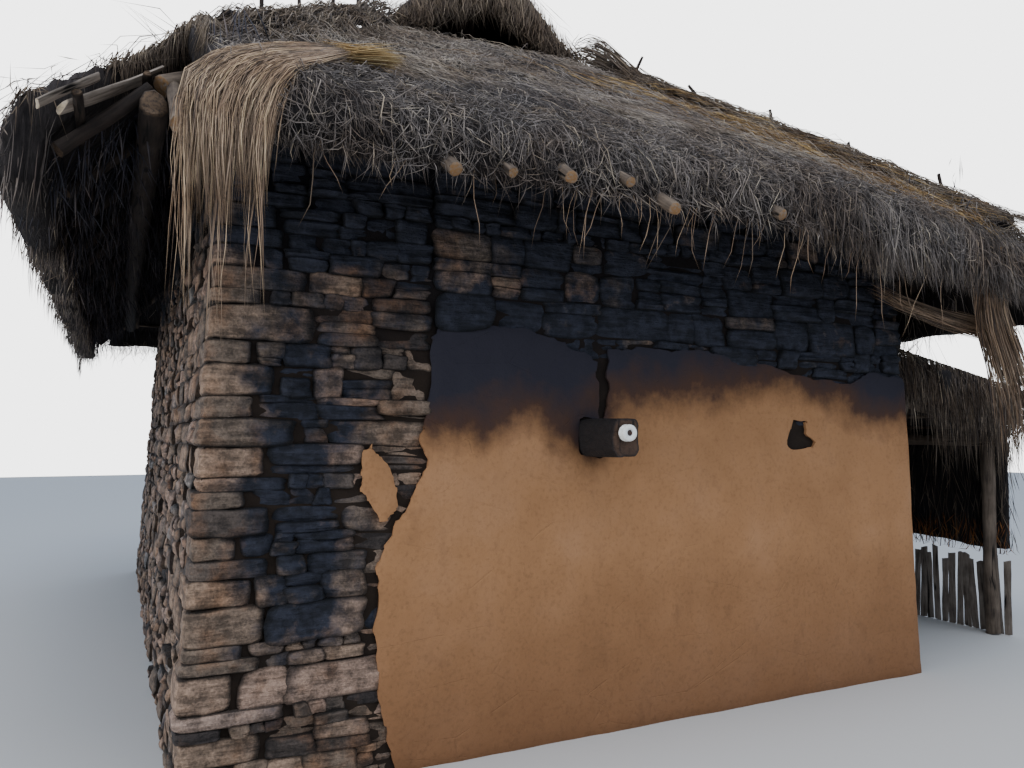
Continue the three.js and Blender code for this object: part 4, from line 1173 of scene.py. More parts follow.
def layHanging(rng, plan):
    kind, count = plan["kind"], plan["hanging"]
    widest = hipX(house["endEave"]) if kind == "end" else house["endEave"] - 0.12
    along = rng.uniform(-widest, widest, count)
    foot = np.full(count, plan["foot"])
    if plan["side"] == "front":
        foot = np.interp(along, *zip(*thatch["frontFoot"]))
        for tip, height in thatch["rafterTips"]:
            foot = np.maximum(foot, np.where(np.abs(along - tip) < 0.04, height, 0))
    rough = 0.07 * flatNoise(along, along, 0.22, 24) + 0.035 * flatNoise(along, along, 0.06, 25)
    foot = foot + plan["ragged"] * rough + rng.exponential(0.04, count)
    foot = np.where(rng.random(count) < 0.03, foot - rng.uniform(0.04, 0.16, count), foot)
    start, bend = rng.uniform(-0.22, 0.10, count), slopes[kind]["bend"]
    lowest = onSlope(kind, plan["sign"], along, np.full(count, -bend))[0][:, 2]
    stop = -bend - (lowest - foot)
    sway = rng.normal(0, 0.07, count) + 0.09 * flatNoise(along, along, 0.12, 26)
    deep = rng.uniform(-0.15, 0.016, count)
    path = []
    for t, wobble in ((0.0, 0.0), (0.4, 1.0), (0.75, 0.6), (1.0, 1.0)):
        aside = along + sway * t + 0.012 * wobble * rng.normal(0, 1, count)
        spot, outward = onSlope(kind, plan["sign"], aside, start + (stop - start) * t)
        path.append(spot + outward * (deep + 0.012 * wobble * rng.normal(0, 1, count))[:, None])
    tones = rng.normal(0.30, 0.16, count) + 0.15 * flatNoise(along, along, 0.15, 29)
    return np.stack(path, axis=1), np.where(rng.random(count) < 0.08, rng.uniform(0.6, 1.0, count), tones)


def layCutEdge(rng, edge):
    count = edge["stems"]
    along = rng.uniform(0, len(edge["line"]) - 1, count)
    back, out, fall = (rng.uniform(*edge[key], count) for key in ("back", "out", "fall"))
    rim = columns(*(np.interp(along, range(len(edge["line"])), values) for values in zip(*edge["line"])))
    inward, drift = np.array(edge["inward"]), rng.normal(0.02, 0.04, count)
    path, laid = [], np.full(count, True)
    for t, drop in ((-1.0, 0.0), (-0.4, 0.0), (0.2, 0.1), (1.0, 1.0)):
        step = np.where(t < 0, t * back, t * out)
        spot = rim - step[:, None] * inward + (drift * (t + 1))[:, None] * edge["drift"]
        lines = np.minimum(sideLine(spot[:, 0]), endLine(spot[:, 1]))
        spot = np.concatenate([spot, (lines + 0.30)[:, None]], axis=1)
        if t < 0:
            spot = fromAbove(spot, 0.006 + 0.014 * rng.random(count))
            height = spot[:, 2]
            laid = laid & (height < lines + 0.27)
        else:
            spot[:, 2] = height + 0.02 - drop * fall
        path.append(spot)
    tones = rng.normal(0.56, 0.15, count) - 0.2 * (fall > 0.2)
    paths = np.stack(path, axis=1)[laid]
    strawMesh(edge["name"], paths, thatch["stem"], tones[laid], "brownStraw", slot="grey_thatch")


def buildThatch():
    rng = np.random.default_rng(5)
    for plan in thatch["slopes"]:
        for part, lay in (("Stems", layLying), ("Tangle", layTangle), ("Fringe", layHanging)):
            paths, tones = lay(rng, plan)
            strawMesh(plan["side"] + part, paths, thatch["stem"], tones, "greyStraw", trimmed=True)
    # the upper layer of the end slope, combed, with a ragged lower edge that stands off the old straw
    count = thatch["upper"]
    x, length, higher = rng.uniform(-1.6, 2.2, count), rng.uniform(0.16, 0.46, count), rng.exponential(0.38, count)
    ragged = 0.07 * flatNoise(x, x, 0.11, 33) + 0.04 * flatNoise(x, x, 0.04, 34)
    s = np.interp(x, *thatch["upperEdge"]) + ragged + length + higher
    aim = rng.normal(0.10, 0.13, count) + 0.40 * flatNoise(x, s, 0.45, 35)
    out = house["endEave"] - s * math.cos(slopes["end"]["tilt"])
    lift = 0.012 + 0.035 * np.exp(-higher / 0.12) * rng.random(count)
    tones = rng.normal(0.66, 0.07, count) + 0.09 * flatNoise(x, s, 0.35, 36)
    kept = (out > house["gablet"] + 0.02) & (np.abs(x) < hipX(out) - 0.08)
    paths = sweep("end", -1, x, s, length, aim, (0 * lift, 0.012 + 0 * lift, lift))
    strawMesh("upperLayer", paths[kept], thatch["stem"], tones[kept], "greyStraw")
    # new straw along the right hip of the end slope
    count = 1500
    s, away = rng.uniform(0.25, 2.4, count), rng.exponential(0.24, count)
    out = house["endEave"] - s * math.cos(slopes["end"]["tilt"])
    aim, lift = rng.normal(0.35, 0.22, count), rng.uniform(0.008, 0.024, count)
    length = rng.uniform(0.2, 0.55, count)
    paths = sweep("end", -1, hipX(out) - 0.20 - away, s, length, aim, (lift - 0.008, lift + 0.01, lift))
    strawMesh("newStraw", paths, thatch["stem"], rng.normal(0.42, 0.2, count), "goldStraw")
    # straw that lies over the cut edge beside the bare corner
    for edge in thatch["cutEdges"]:
        layCutEdge(rng, edge)
    print("thatch laid")


# Straw that hangs from the undersides of the eaves and into the bare corner, painted dark and bluish as the shade under
# the eaves
underside = {"stem": 0.003, "counts": {"left": 3000, "right": 800, "front": 1000, "back": 400}}


def buildUnderside():
    rng = np.random.default_rng(6)
    for side, count in underside["counts"].items():
        sign = -1 if side in ("left", "front") else 1
        if side in ("left", "right"):
            x, y = rng.uniform(2.02, 2.74, count) * sign, rng.uniform(-3.68, 3.68, count)
            z = sideLine(x) + 0.05
        else:
            x, y = rng.uniform(-2.2, 2.2, count), rng.uniform(3.16, 3.72, count) * sign
            z = endLine(y) + 0.05
        length = rng.uniform(0.05, 0.20, count) + 0.16 * rng.random(count) * (side == "left")
        lean = rng.normal(0, 0.28, (count, 2)) * length[:, None]
        start = columns(x, y, z)
        path = [start + columns(lean[:, 0] * t, lean[:, 1] * t, -length * t ** 1.3) for t in (0.0, 0.6, 1.0)]
        strawMesh(side + "Underside", path, underside["stem"], rng.normal(0.4, 0.2, count), "eaveShadeStraw", trimmed=True)
    print("undersides hung")


# Loose straw on the rolls of the hips and the ridge
rolls = {
    "half": 0.17, "ridge": 1500,
    "stems": {"front_left": 2000, "front_right": 2400, "back_left": 800, "back_right": 800},
}


def buildRolls():
    rng = np.random.default_rng(8)
    norm = math.hypot(hipRun, 1.0)
    for name, (sx, sy) in hips.items():
        count = rolls["stems"][name]
        y, v = rng.uniform(1.42, 3.02 if name == "front_left" else 3.72, count), rng.uniform(-1.0, 1.0, count)
        turn, length = rng.normal(0, 0.5, count), rng.uniform(0.16, 0.50, count)
        path = []
        for t, rise in ((0.0, -0.006), (0.5, 0.032), (1.0, 0.014)):
            along = y + length * t * np.cos(turn)
            aside = (v + np.sign(v) * np.abs(turn) * length * t * 3.0) * rolls["half"] / norm
            px, py = hipX(along) + aside, along - aside * hipRun
            spot = columns(sx * px, sy * py, np.minimum(endLine(py), sideLine(px)) + 0.2)
            path.append(fromAbove(spot, 0.004 + rise * rng.uniform(0.3, 1.6, count)))
        tones = rng.normal(0.55, 0.16, count)
        strawMesh(name.replace("_", "") + "RollStems", path, thatch["stem"], tones, "brownStraw", trimmed=True)
    count = rolls["ridge"]
    x0, y0 = rng.uniform(-0.24, 0.24, count), rng.uniform(-1.36, 1.36, count)
    reach = rng.uniform(0.10, 0.36, count) * np.where(rng.random(count) < 0.5, -1, 1)
    drift = 0.15 * rng.normal(0, 1, count)
    path = []
    for t in (0.0, 0.5, 1.0):
        spot = columns(x0 + reach * t, np.clip(y0 + drift * t, -1.40, 1.40), sideLine(x0 + reach * t) + 0.25)
        path.append(fromAbove(spot, 0.030 * rng.random(count)))
    strawMesh("ridgeRollStems", path, thatch["stem"], rng.normal(0.4, 0.18, count), "brownStraw")
    print("rolls dressed")


# Straw that hangs in the two gablets
gablets = {
    "stems": 1200, "stem": 0.0025, "reach": 0.95, "head": 520, "headStem": 0.0028, "tall": 0.17, "low": 0.08,
    "feet": ([0, 0.22, 0.4, 0.6, 0.95], [0.12, 0.05, -0.05, -0.10, -0.13]),
}


def buildGablets():
    rng = np.random.default_rng(9)
    for name, sign in (("front", -1), ("back", 1)):
        count = gablets["stems"]
        x = rng.uniform(-gablets["reach"], gablets["reach"], count)
        top = sideLine(x) + house["topRise"] - rng.uniform(0.0, 0.08, count)
        sill = endLine(house["gablet"]) + house["topRise"]
        foot = sill + np.interp(np.abs(x), *gablets["feet"])
        foot = np.minimum(foot + rng.uniform(-0.04, 0.12, count) + 0.05 * flatNoise(x, x, 0.1, 91), top - 0.05)
        y = house["gablet"] + rng.uniform(0.0, 0.085, count)
        path = []
        for t in (0.0, 0.4, 0.75, 1.0):
            sway = 0.045 * min(1.0, 1.5 * t) * rng.normal(0, 1, count)
            path.append(columns(x + sway, sign * (y + 0.03 * t), top + (foot - top) * t))
        tones = rng.normal(0.52, 0.15, count)
        strawMesh(name + "GabletStraw", path, gablets["stem"], tones, "brownStraw", "gablet_fringe_" + name)
    # straw heaped on the heads of the hip rolls, lying down the hips
    for corner, (sx, sy) in hips.items():
        name = corner.replace("_l", "L").replace("_r", "R")
        count = gablets["head"]
        height = gablets["tall"] if corner == "front_right" else gablets["low"]
        start, length, v = rng.uniform(-0.12, 0.34, count), rng.uniform(0.14, 0.40, count), rng.uniform(-1, 1, count)
        layer, drift = rng.random(count) * np.sqrt(1 - v * v), rng.normal(0, 0.04, count)
        path = []
        for t in (0.0, 0.35, 0.7, 1.0):
            run = start + length * t
            y = house["gablet"] + 0.82 * run
            x, y = hipX(y) + 0.12 * v + drift * t, y - 0.08 * v
            surface = np.where(y < house["gablet"], sideLine(x), np.minimum(endLine(y), sideLine(x))) + house["topRise"]
            heap = rising(run, -0.14, 0.06) * (1 - rising(run, 0.10, 0.60))
            rise = 0.01 + (0.06 + height) * layer * heap + 0.05 * layer
            path.append(columns(sx * x, sy * y, surface + rise))
        strawMesh(name + "RollHead", path, gablets["headStem"], rng.normal(0.46, 0.15, count), "brownStraw")
    print("gablets filled")


# Hanks of loose straw: middle of the hank and its half width along the way
hanks = {
    "thrown": {
        "way": [(-1.60, -3.38, 3.15), (-1.80, -3.61, 2.995), (-2.00, -3.79, 2.84), (-2.11, -3.88, 2.66),
                (-2.14, -3.90, 2.45), (-2.14, -3.90, 2.15), (-2.135, -3.90, 1.85), (-2.13, -3.90, 1.55)],
        "across": [(0.03, -0.012, -0.012), (0.055, 0.01, -0.018), (0.11, 0.01, -0.012), (0.135, 0, -0.03),
                   (0.135, 0, -0.02), (0.13, 0, 0), (0.125, 0, 0), (0.12, 0, 0)],
        "stem": 0.0014, "deep": 0.022, "stems": 1150, "tufts": 18, "early": 0.06, "ends": (0.60, 0.76), "loose": 0.09,
    },
    "slipped": {
        "way": [(2.33, -3.70, 2.54), (2.36, -3.64, 2.42), (2.43, -3.59, 2.23), (2.55, -3.58, 1.99), (2.62, -3.59, 1.74),
                (2.62, -3.60, 1.50), (2.60, -3.60, 1.22)],
        "across": [(0.07, 0, 0), (0.10, 0, 0), (0.10, 0, 0.03), (0.12, 0, 0.03), (0.15, 0, 0), (0.15, 0, 0),
                   (0.10, 0, 0)],
        "deep": 0.05, "stems": 620, "tufts": 16, "early": 0.12, "ends": (0.55, 1.0), "loose": 0.12,
    },
    "reeds": {
        "way": [(1.72, -3.265, 2.415), (2.00, -3.31, 2.32), (2.30, -3.40, 2.225), (2.50, -3.52, 2.15),
                (2.62, -3.56, 2.08)],
        "across": [(0, 0.03, 0.035), (0, 0.04, 0.05), (0, 0.04, 0.055), (0, 0.03, 0.05), (0, 0.03, 0.05)],
        "deep": 0.035, "stems": 220, "tufts": 40, "early": 0.5, "ends": (0.85, 1.0), "loose": 0.12,
    },
}


def eased(line, t):  # a smooth curve through the points of a line, at places between 0 and 1
    line = np.array(line, float)
    t = np.clip(t, 0, 0.9999) * (len(line) - 1)
    i = t.astype(int)
    f = (t - i)[:, None]
    a, b, c, d = (line[np.clip(i + k, 0, len(line) - 1)] for k in (-1, 0, 1, 2))
    return 0.5 * (2 * b + (c - a) * f + (2 * a - 5 * b + 4 * c - d) * f ** 2 + (3 * b - a - 3 * c + d) * f ** 3)


def hankPaths(rng, plan, steps=7):
    # the stems gather in tufts of uneven length
    count, tufts = plan["stems"], plan["tufts"]
    tuft = rng.integers(0, tufts, count)
    middle, reach = np.linspace(-0.95, 0.95, tufts) + rng.normal(0, 0.04, tufts), rng.uniform(*plan["ends"], tufts)
    aside = middle[tuft] + rng.normal(0, plan["loose"], count)
    begin = plan["early"] * rng.random(count)
    finish = np.clip(reach[tuft] * (1 - 0.45 * rng.random(count) ** 1.8), begin + 0.2, 1.0)
    turn = rng.uniform(0, 6.283, count)
    path = []
    for k in range(steps):
        t = begin + (finish - begin) * k / (steps - 1)
        drift = aside + (0.17 * np.sin(turn + 5 * t) + 0.09 * np.sin(2.3 * turn + 11 * t)) * (0.4 + t)
        depth = plan["deep"] * np.cos(1.7 * turn + 3 * t)
        side = eased(plan["across"], t) * drift[:, None]
        path.append(eased(plan["way"], t) + side + columns(0.2 * depth, -0.8 * depth, 0.6 * depth))
    return np.stack(path, axis=1)


def buildHanks():
    rng = np.random.default_rng(10)
    thrown = hanks["thrown"]
    paths = hankPaths(rng, thrown)
    count = len(paths)
    tones = np.where(rng.random(count) < 0.16, rng.uniform(0.64, 0.94, count), rng.normal(0.42, 0.15, count))
    # a few long ends, nearly down to the corner stones
    long = hankPaths(rng, dict(thrown, stems=70, tufts=3, ends=(0.84, 0.92), loose=0.05))
    tones = np.concatenate([tones, rng.normal(0.5, 0.15, len(long))])
    strawMesh("thrownHank", np.concatenate([paths, long]), thrown["stem"], tones, "paleStraw", "straw_hank")
    # the cut butts of the hank, splayed above its neck
    count = 260
    start = np.array(thrown["way"][0]) + rng.normal(0, 0.012, (count, 3))
    fan = rng.normal(0, 0.13, count)
    run = rng.uniform(0.20, 0.34, count)
    path = []
    for t in (-0.5, 0.0, 0.5, 1.0):
        away = run * t
        path.append(start + columns(away * 0.93, 0.25 * away + fan * np.maximum(t, 0) * 0.4, 0.05 * away + 0.03 * t))
    strawMesh("hankButts", path, 0.0022, rng.normal(0.66, 0.17, count), "goldStraw")
    both = np.concatenate([hankPaths(rng, hanks["slipped"], 6), hankPaths(rng, hanks["reeds"], 6)])
    strawMesh("slippedHank", both, 0.0021, rng.normal(0.36, 0.16, len(both)), "paleStraw", "corner_hank")
    # a few long stray stems under the eave
    count = 46
    x = rng.uniform(-1.9, 2.3, count)
    z = np.interp(x, *zip(*thatch["frontFoot"])) + 0.1
    fall, swing, back = rng.uniform(0.15, 0.42, count), rng.normal(0, 0.08, count), rng.uniform(0, 0.15, count)
    path = []
    for t in (0, 0.25, 0.5, 0.75, 1.0):
        path.append(columns(x + swing * t * t + 0.012 * np.sin(7 * t + x * 9), -3.80 + back * t, z - fall * t))
    strawMesh("strayStems", path, 0.0017, rng.uniform(0.2, 0.7, count), "paleStraw")
    print("hanks hung")


# Poles: one pole is modelled, and copies of it are bent and laid in place
def poleKind():
    bpy.ops.mesh.primitive_cylinder_add(vertices=10, radius=1.0, depth=2.0, end_fill_type="NGON")
    pole = bpy.context.object
    pickFaces(pole, [abs(face.normal.z) > 0.9 for face in pole.data.polygons])
    bpy.ops.mesh.inset(thickness=0.16, depth=0.004)
    editMode("DESELECT", "EDGE")
    objectMode()
    for edge in pole.data.edges:  # the long edges
        a, b = (pole.data.vertices[i].co for i in edge.vertices)
        edge.select = abs(a.z - b.z) > 1.5
    editMode()
    bpy.ops.mesh.subdivide(number_cuts=5)
    bpy.ops.mesh.select_all(action="SELECT")
    bpy.ops.mesh.quads_convert_to_tris()
    facesOut()
    co, faces = points(pole), faceLists(pole)
    bpy.data.objects.remove(pole)
    return co, faces


class PoleHeap(Heap):  # crooked poles and split boards
    def __init__(self, kind, seed):
        super().__init__(seed)
        self.kind = kind

    def add(self, start, end, radius, bow=0.012, taper=0.12, flat=1.0, up=(0, 0, 1)):
        co, faces = self.kind
        rng = self.rng
        start, end, up = np.array(start, float), np.array(end, float), np.array(up, float)
        length = np.linalg.norm(end - start)
        along = (end - start) / length
        across = np.cross(up if abs(along @ up) < 0.95 else np.array([1.0, 0, 0]), along)
        across /= np.linalg.norm(across)
        rise = np.cross(along, across)
        t, around = (co[:, 2] + 1) / 2, np.arctan2(co[:, 1], co[:, 0])
        phase = rng.uniform(0, 6.28, 4)
        knots = 1 + 0.07 * np.sin(9 * t + phase[0]) + 0.05 * np.sin(3 * around + 5 * t + phase[1])
        thick = radius * (1 - taper * (t - 0.5)) * knots
        bend = bow * np.sin(np.pi * t) * np.cos(phase[2]) + 0.4 * bow * np.sin(7 * t + phase[3])
        lift = 0.6 * bow * np.sin(np.pi * t) * np.sin(phase[2])
        ragged = np.where(np.abs(co[:, 2]) > 0.99, radius * 0.25 * np.sin(2.1 * co[:, 0] + phase[0]), 0)
        spot = start + np.outer(t * length + ragged, along)
        spot += np.outer(co[:, 0] * thick + bend, across) + np.outer(co[:, 1] * thick * flat + lift, rise)
        grain = columns(co[:, 0] * radius, co[:, 1] * radius * flat, t * length) + rng.uniform(0, 9, 3)
        cut = (np.abs(co[:, 2]) > 0.99) & (np.hypot(co[:, 0], co[:, 1]) < 0.9)
        self.gather(spot, faces, grainAt=grain, cut=cut.astype(float))

    def finish(self, name, material, slot, *replaced):
        piece = self.joined(name)
        smoothBelow(piece, 55)
        finishPiece(piece, material, slot, *replaced)


roofPoles = {
    "frontTips": {-1.76: (-1.76, 3.70, 0), -1.24: (-1.285, 3.885, 0.010), -0.705: (-0.77, 3.89, 0.055),
                  -0.2: (-0.27, 3.93, 0), 0.53: (0.42, 3.87, 0.03)},
    "shortOnes": [(-1.035, 3.89, 0.035), (-0.47, 3.89, 0.075)],
    "rafter": 0.027, "hip": 0.04, "endRafters": [-2.28, -1.76, -1.24, -0.705, -0.2, 0.53, 1.1, 1.67, 2.2],
    "sideRafters": [-3.45, -2.88, -2.32, -1.76, -1.25, -0.63, 0, 0.63, 1.25, 1.76, 2.32, 2.88, 3.45],
    "endBattens": [3.70, 3.10, 2.50, 1.90], "sideBattens": [2.59, 2.37, 1.85, 1.30, 0.76],
    "batten": (0.018, 0.004, 0.05, 0.6), "sideFoot": 2.66, "overRafter": 0.055,
    "purlin": {"x": 2.35, "reach": 3.49, "radius": 0.055, "under": 0.090},
}


def buildPoles():
    kind = poleKind()
    gablet, eave = house["gablet"], house["endEave"]
    for name, sign, seed in (("front", -1, 31), ("back", 1, 32)):
        heap = PoleHeap(kind, seed)
        tip = eave + 0.02 if name == "front" else eave - 0.21
        for x in roofPoles["endRafters"]:
            upper = gablet if abs(x) < hipX(gablet) else max(gablet, hipY(x))
            tipX, out, lift = x, tip + heap.rng.uniform(-0.10, 0.0), 0
            if name == "front" and x in roofPoles["frontTips"]:
                tipX, out, lift = roofPoles["frontTips"][x]
            foot = (tipX, sign * out, endLine(out) + lift)
            heap.add(foot, (x, sign * upper, endLine(upper)), roofPoles["rafter"], 0.006)
        for y in roofPoles["endBattens"]:
            y = min(y, tip - 0.03)
            x, z = float(hipX(y)), endLine(y) + roofPoles["overRafter"]
            leftX = min(x, 2.2) if name == "front" else x
            heap.add((-leftX, sign * y, z), (x, sign * y, z), *roofPoles["batten"])
        if name == "front":  # two short ones that only reach the wall
            for x, out, lift in roofPoles["shortOnes"]:
                heap.add((x, -out, endLine(out) + lift), (x + 0.03, -3.05, endLine(3.05)), 0.022, 0.004)
        for sx in (-1, 1):
            foot = (2.64 if sx > 0 else 2.32) if name == "front" else 2.44
            head = (sx * hipX(gablet), sign * gablet, endLine(gablet))
            heap.add((sx * foot, sign * hipY(foot), sideLine(foot)), head, roofPoles["hip"], 0.01)
        heap.add((-hipX(gablet), sign * gablet, endLine(gablet)), (hipX(gablet), sign * gablet, endLine(gablet)),
                 roofPoles["hip"], 0.005)
        heap.finish(name + "Rafters", "weatheredPole", "pole_wood", "rafters_" + name)
    foot, purlin = roofPoles["sideFoot"], roofPoles["purlin"]
    for name, sign, seed in (("left", -1, 33), ("right", 1, 34)):
        heap = PoleHeap(kind, seed)
        for y in roofPoles["sideRafters"]:
            upper = 0.02 if abs(y) < gablet else float(hipX(y))
            heap.add((sign * foot, y, sideLine(foot)), (sign * upper, y, sideLine(upper)), roofPoles["rafter"], 0.006)
        for x in roofPoles["sideBattens"]:
            reach = gablet if x < hipX(gablet) else min(float(hipY(x)), eave - 0.12)
            z = sideLine(x) + roofPoles["overRafter"]
            heap.add((sign * x, -reach, z), (sign * x, reach, z), *roofPoles["batten"])
        # the side rafters and the purlin below get the darker pole wood, painted dark as the shade under the eaves
        heap.finish(name + "Rafters", "darkAndShadedPole", "pole_wood", "rafters_" + name)
        heap = PoleHeap(kind, seed + 4)
        x, z = sign * purlin["x"], sideLine(purlin["x"]) - purlin["under"]
        heap.add((x, -purlin["reach"], z), (x, purlin["reach"], z), purlin["radius"], 0.008, 0.1)
        heap.finish(name + "EavePurlin", "darkAndShadedPole", "pole_wood", "eave_purlin_" + name)
    buildPins(kind)
    buildCornerBoards(kind)
    buildLeantoFrame(kind)
    print("poles laid")


pins = {
    "head": 0.18, "foot": 3.62, "count": 5, "droop": 0.13, "pole": (0.021, 0.02, 0.2), "peg": (0.012, 0.006, 0.3),
    "frontLeft": {"foot": 2.95, "count": 4, "droop": 0.05}, "overThatch": 0.082, "below": 0.04, "above": 0.13,
    "ridge": {"reach": 1.34, "overThatch": 0.062, "above": 0.125, "pole": (0.022, 0.02, 0.2)},
}


def buildPins(kind):  # the poles and pegs that hold the rolls down
    head = house["gablet"] + pins["head"]
    for name, (sx, sy) in hips.items():
        plan = dict(pins, **pins["frontLeft"]) if name == "front_left" else pins
        heap = PoleHeap(kind, 60 + plan["count"] + (sy > 0))
        over = house["topRise"] + pins["overThatch"]
        rise = lambda y: over - plan["droop"] * (y - head) / (pins["foot"] - head)
        at = lambda y: (sx * hipX(y), sy * y, endLine(y) + rise(y))
        heap.add(at(plan["foot"]), at(head), *pins["pole"])
        for i in range(plan["count"]):
            x, y, z = at(plan["foot"] + (head - plan["foot"]) * (i + 0.6) / plan["count"])
            lean = heap.rng.normal(0, 0.035, 2)
            low = (x - lean[0] * 0.3, y - lean[1] * 0.3, z - pins["below"])
            heap.add(low, (x + lean[0], y + lean[1], z + pins["above"]), *pins["peg"])
        heap.finish(name.replace("_", "") + "Pins", "darkAndShadedPole", "pole_wood", "hip_pole_" + name)
    ridge, heap = pins["ridge"], PoleHeap(kind, 70)
    reach, z = ridge["reach"], sideLine(0) + house["topRise"] + ridge["overThatch"]
    heap.add((0, -reach, z), (0, reach, z), *ridge["pole"])
    for i in range(pins["count"]):
        y = -reach + 2 * reach * (i + 0.6) / pins["count"]
        lean = heap.rng.normal(0, 0.03, 2)
        heap.add((0, y, z - pins["below"]), (lean[0], y + lean[1], z + ridge["above"]), *pins["peg"])
    heap.finish("ridgePins", "darkAndShadedPole", "pole_wood", "ridge_pinning_pole")


cornerBoards = {
    "rise": 0.086, "long": ((-2.64, -3.59), (-2.334, -3.331), 0.046), "short": ((-2.70, -3.76), (-2.53, -3.66), 0.034),
}


def buildCornerBoards(kind):
    for name in ("long", "short"):
        low, high, half = cornerBoards[name]
        heap = PoleHeap(kind, 80 + len(name))
        ends = [(*end, sideLine(end[0]) + cornerBoards["rise"]) for end in (low, high)]
        heap.add(*ends, half, 0.004, 0.05, 0.26, (-0.69, 0, 0.72))
        heap.finish(name + "CornerBoard", "splitBoard", "split_board", "corner_board_" + name)


# Lean-to
leanto = {
    "from": -2.88, "to": 1.12, "endFace": -2.955, "edge": 3.76, "line": 1.80, "slope": 0.19, "postX": 3.56, "top": 0.33,
    "stems": 2200, "fringe": 1000, "eaveFringe": 1500, "boards": 62,
    "frame": {"rafters": (-2.82, -2.05, -1.28, -0.51, 0.26, 1.06), "battens": (2.32, 2.76, 3.20, 3.64),
              "rafterFoot": 3.70, "ledger": 0.042, "plate": 0.048, "post": 0.050},
    "hung": {
        "leantoScreenStems": {"stems": 1900, "heights": (0.72, 1.55), "falls": (0.12, 0.38), "sway": 0.06, "tone": 0.42,
                              "look": "brownStraw", "face": lambda draw: np.where(draw < 0.5, 3.612, 3.698)},
        "screenFoot": {"stems": 600, "heights": (0.68, 0.90), "falls": (0.06, 0.24), "sway": 0.05, "tone": 0.5,
                       "look": "litOrangeStraw", "face": lambda draw: 3.600 + 0.010 * draw},
    },
}


def leantoHeight(x):
    return leanto["line"] - (x - halfW) * leanto["slope"]


def buildLeantoFrame(kind):
    low, high, postX, frameOf = leanto["from"], leanto["to"], leanto["postX"], leanto["frame"]
    heap = PoleHeap(kind, 90)
    foot = frameOf["rafterFoot"]
    for y in frameOf["rafters"]:
        heap.add((halfW + 0.024, y, leantoHeight(halfW)), (foot, y, leantoHeight(foot)), 0.027, 0.008)
    for x in frameOf["battens"]:
        z = leantoHeight(x) + 0.042
        heap.add((x, low + 0.02, z), (x, high - 0.01, z), 0.018, 0.005, 0.05, 0.7)
    heap.finish("leantoRafters", "weatheredPole", "pole_wood", "leanto_rafters")
    ledgerX = rightFace(leanto["line"]) + 0.040
    ledgerZ = leantoHeight(ledgerX) - 0.063
    plateZ = leantoHeight(postX) - 0.068
    pieces = [("leantoLedger", "leanto_ledger", (ledgerX, low, ledgerZ), (ledgerX, high, ledgerZ), frameOf["ledger"]),
              ("leantoPlate", "leanto_plate", (postX, low, plateZ), (postX, high, plateZ), frameOf["plate"])]
    for name, y in (("front", low + 0.11), ("middle", -0.88), ("back", high - 0.11)):
        top = (postX, y, plateZ - 0.04)
        pieces.append((name + "Post", "leanto_post_" + name, (postX, y, 0), top, frameOf["post"]))
    for seed, (name, node, start, end, radius) in enumerate(pieces):
        heap = PoleHeap(kind, 91 + seed)
        heap.add(start, end, radius, 0.008, 0.12)
        heap.finish(name, "weatheredPole", "pole_wood", node)
    heap = PoleHeap(kind, 99)
    width, x = (high - low) / leanto["boards"], postX + 0.0565
    for i in range(leanto["boards"]):
        y, top, tilt = low + width * (i + 0.5), heap.rng.uniform(0.50, 0.60), heap.rng.normal(0, 0.02)
        half = width * heap.rng.uniform(0.42, 0.5)
        heap.add((x, y, 0.0), (x, y + tilt, top), half, 0.002, 0.05, 0.10, (1, 0, 0))
    heap.finish("splitBoardPanel", "splitBoard", "split_board", "wattle_panel")


